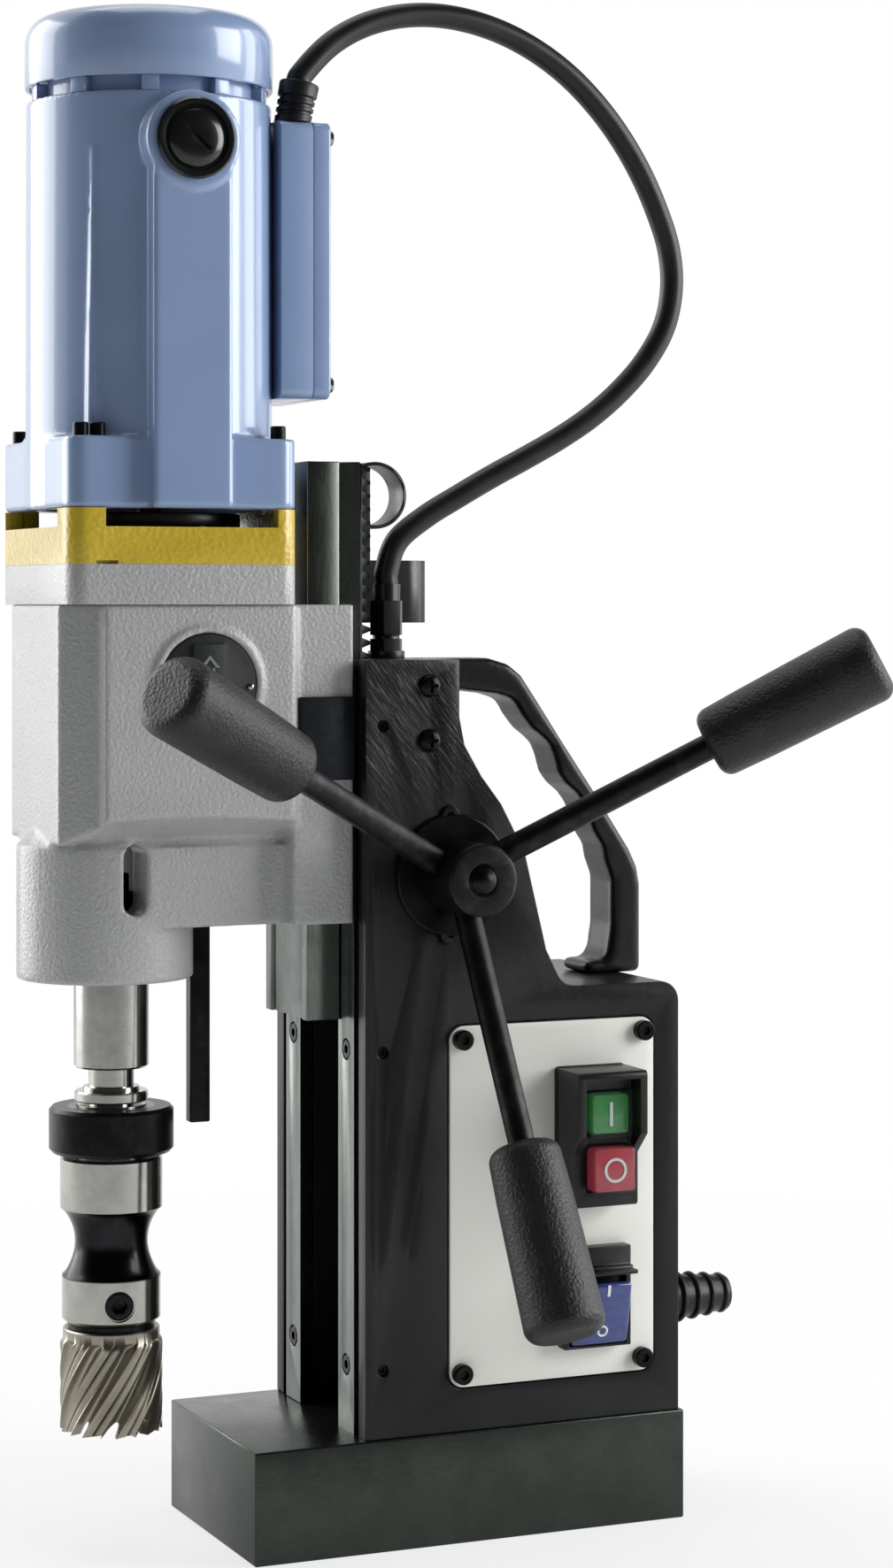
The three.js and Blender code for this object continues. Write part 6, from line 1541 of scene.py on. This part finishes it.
class BuildMotorCap(bpy.types.Operator):
    """Builds the motor's cap, its vent and the brush caps"""
    bl_idname = "drill.build_motor_cap"
    bl_label = "Motor cap and brush caps"

    def execute(self, context):
        build_motor_cap()
        build_brush_cap("near", -1)
        build_brush_cap("far", 1)
        return {"FINISHED"}


class BuildTerminal(bpy.types.Operator):
    """Builds the connection box, its cover and the cable's sleeve"""
    bl_idname = "drill.build_terminal"
    bl_label = "Connection box"

    def execute(self, context):
        build_terminal()
        return {"FINISHED"}


class BuildGearbox(bpy.types.Operator):
    """Builds the gearbox, its lid, the ring around the fan and the fan"""
    bl_idname = "drill.build_gearbox"
    bl_label = "Gearbox"

    def execute(self, context):
        build_gearbox()
        build_head_rings()
        build_fan()
        return {"FINISHED"}


class BuildSelector(bpy.types.Operator):
    """Builds the gear selector"""
    bl_idname = "drill.build_selector"
    bl_label = "Gear selector"

    def execute(self, context):
        build_selector()
        return {"FINISHED"}


class BuildSlide(bpy.types.Operator):
    """Builds the slide, the rack, the gib plate and the hose holder"""
    bl_idname = "drill.build_slide"
    bl_label = "Slide and rack"

    def execute(self, context):
        build_slide()
        build_bracket()
        return {"FINISHED"}


class BuildSpindle(bpy.types.Operator):
    """Builds the spindle, the arbor, the coolant ring and the pilot rod"""
    bl_idname = "drill.build_spindle"
    bl_label = "Spindle and arbor"

    def execute(self, context):
        build_spindle()
        build_arbor()
        build_coolant_ring()
        build_pilot()
        return {"FINISHED"}


class BuildCutter(bpy.types.Operator):
    """Builds the annular cutter and its stop ring"""
    bl_idname = "drill.build_cutter"
    bl_label = "Annular cutter"

    def execute(self, context):
        build_cutter()
        return {"FINISHED"}


class BuildFeedWheel(bpy.types.Operator):
    """Builds the feed hub with its three handles"""
    bl_idname = "drill.build_feed_wheel"
    bl_label = "Feed wheel"

    def execute(self, context):
        build_hub()
        for number, angle in enumerate(SPOKE_ANGLES, 1):
            build_grip(number, angle)
        return {"FINISHED"}


class BuildFrame(bpy.types.Operator):
    """Builds the magnet, the casting, the carrying handle and the guide rails"""
    bl_idname = "drill.build_frame"
    bl_label = "Frame and magnet"

    def execute(self, context):
        dressed_copy("magnet_block", "magnet_body", "frame", "magnet", 0.8, 3)
        build_casting()
        build_handle()
        build_rails()
        return {"FINISHED"}


class BuildPanel(bpy.types.Operator):
    """Builds the switch panel, its push buttons and the rocker"""
    bl_idname = "drill.build_panel"
    bl_label = "Switch panel"

    def execute(self, context):
        build_panel()
        build_buttons()
        build_rocker()
        return {"FINISHED"}


class BuildGlands(bpy.types.Operator):
    """Builds the cable gland on the frame and the boot for the supply lead"""
    bl_idname = "drill.build_glands"
    bl_label = "Gland and boot"

    def execute(self, context):
        build_gland()
        build_boot()
        return {"FINISHED"}


class FinishInnerParts(bpy.types.Operator):
    """Gives the parts inside the motor, the gearbox and the frame their finishes"""
    bl_idname = "drill.finish_inner_parts"
    bl_label = "Inner parts"

    def execute(self, context):
        for finish, nodes in {
                "copper": ["magnet_coil", "armature"], "laminate": ["stator"], "circuit": ["circuit_board"],
                "bronze": ["shaft_bush"],
                "ground": ["idler_gear", "spindle_gear", "lower_bearing", "upper_bearing"]}.items():
            for node in nodes:
                paint_node(node, finish_named(finish))
        return {"FINISHED"}


OPERATORS = (
    BuildStage, BuildCable, BuildMotorHousing, BuildMotorCap, BuildTerminal, BuildGearbox, BuildSelector,
    BuildSlide, BuildSpindle, BuildCutter, BuildFeedWheel, BuildFrame, BuildPanel, BuildGlands,
    FinishInnerParts,
)
SETTINGS = (
    ("drill_colours", DrillColours),
    ("drill_surface", DrillSurface),
    ("drill_stage", DrillStage),
)


class DrillPanel(bpy.types.Panel):
    """Lists the drill's settings and the steps that build it"""
    bl_idname = "VIEW3D_PT_core_drill"
    bl_label = "Core Drill"
    bl_space_type = "VIEW_3D"
    bl_region_type = "UI"
    bl_category = "Core Drill"

    def draw(self, context):
        for name, group in SETTINGS:
            box = self.layout.box()
            box.label(text=group.__doc__)
            for key in group.__annotations__:
                box.prop(getattr(context.scene, name), key)
        for operator in OPERATORS:
            self.layout.operator(operator.bl_idname)


def register():
    for name, group in SETTINGS:
        bpy.utils.register_class(group)
        setattr(bpy.types.Scene, name, bpy.props.PointerProperty(type=group))
    for operator in OPERATORS:
        bpy.utils.register_class(operator)
    bpy.utils.register_class(DrillPanel)


def unregister():
    bpy.utils.unregister_class(DrillPanel)
    for operator in reversed(OPERATORS):
        bpy.utils.unregister_class(operator)
    for name, group in reversed(SETTINGS):
        delattr(bpy.types.Scene, name)
        bpy.utils.unregister_class(group)


def main():
    """Registers the add-on and builds the drill."""
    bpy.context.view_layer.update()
    register()
    for operator in OPERATORS:
        group, name = operator.bl_idname.split(".")
        getattr(getattr(bpy.ops, group), name)()


if __name__ == "__main__":
    main()
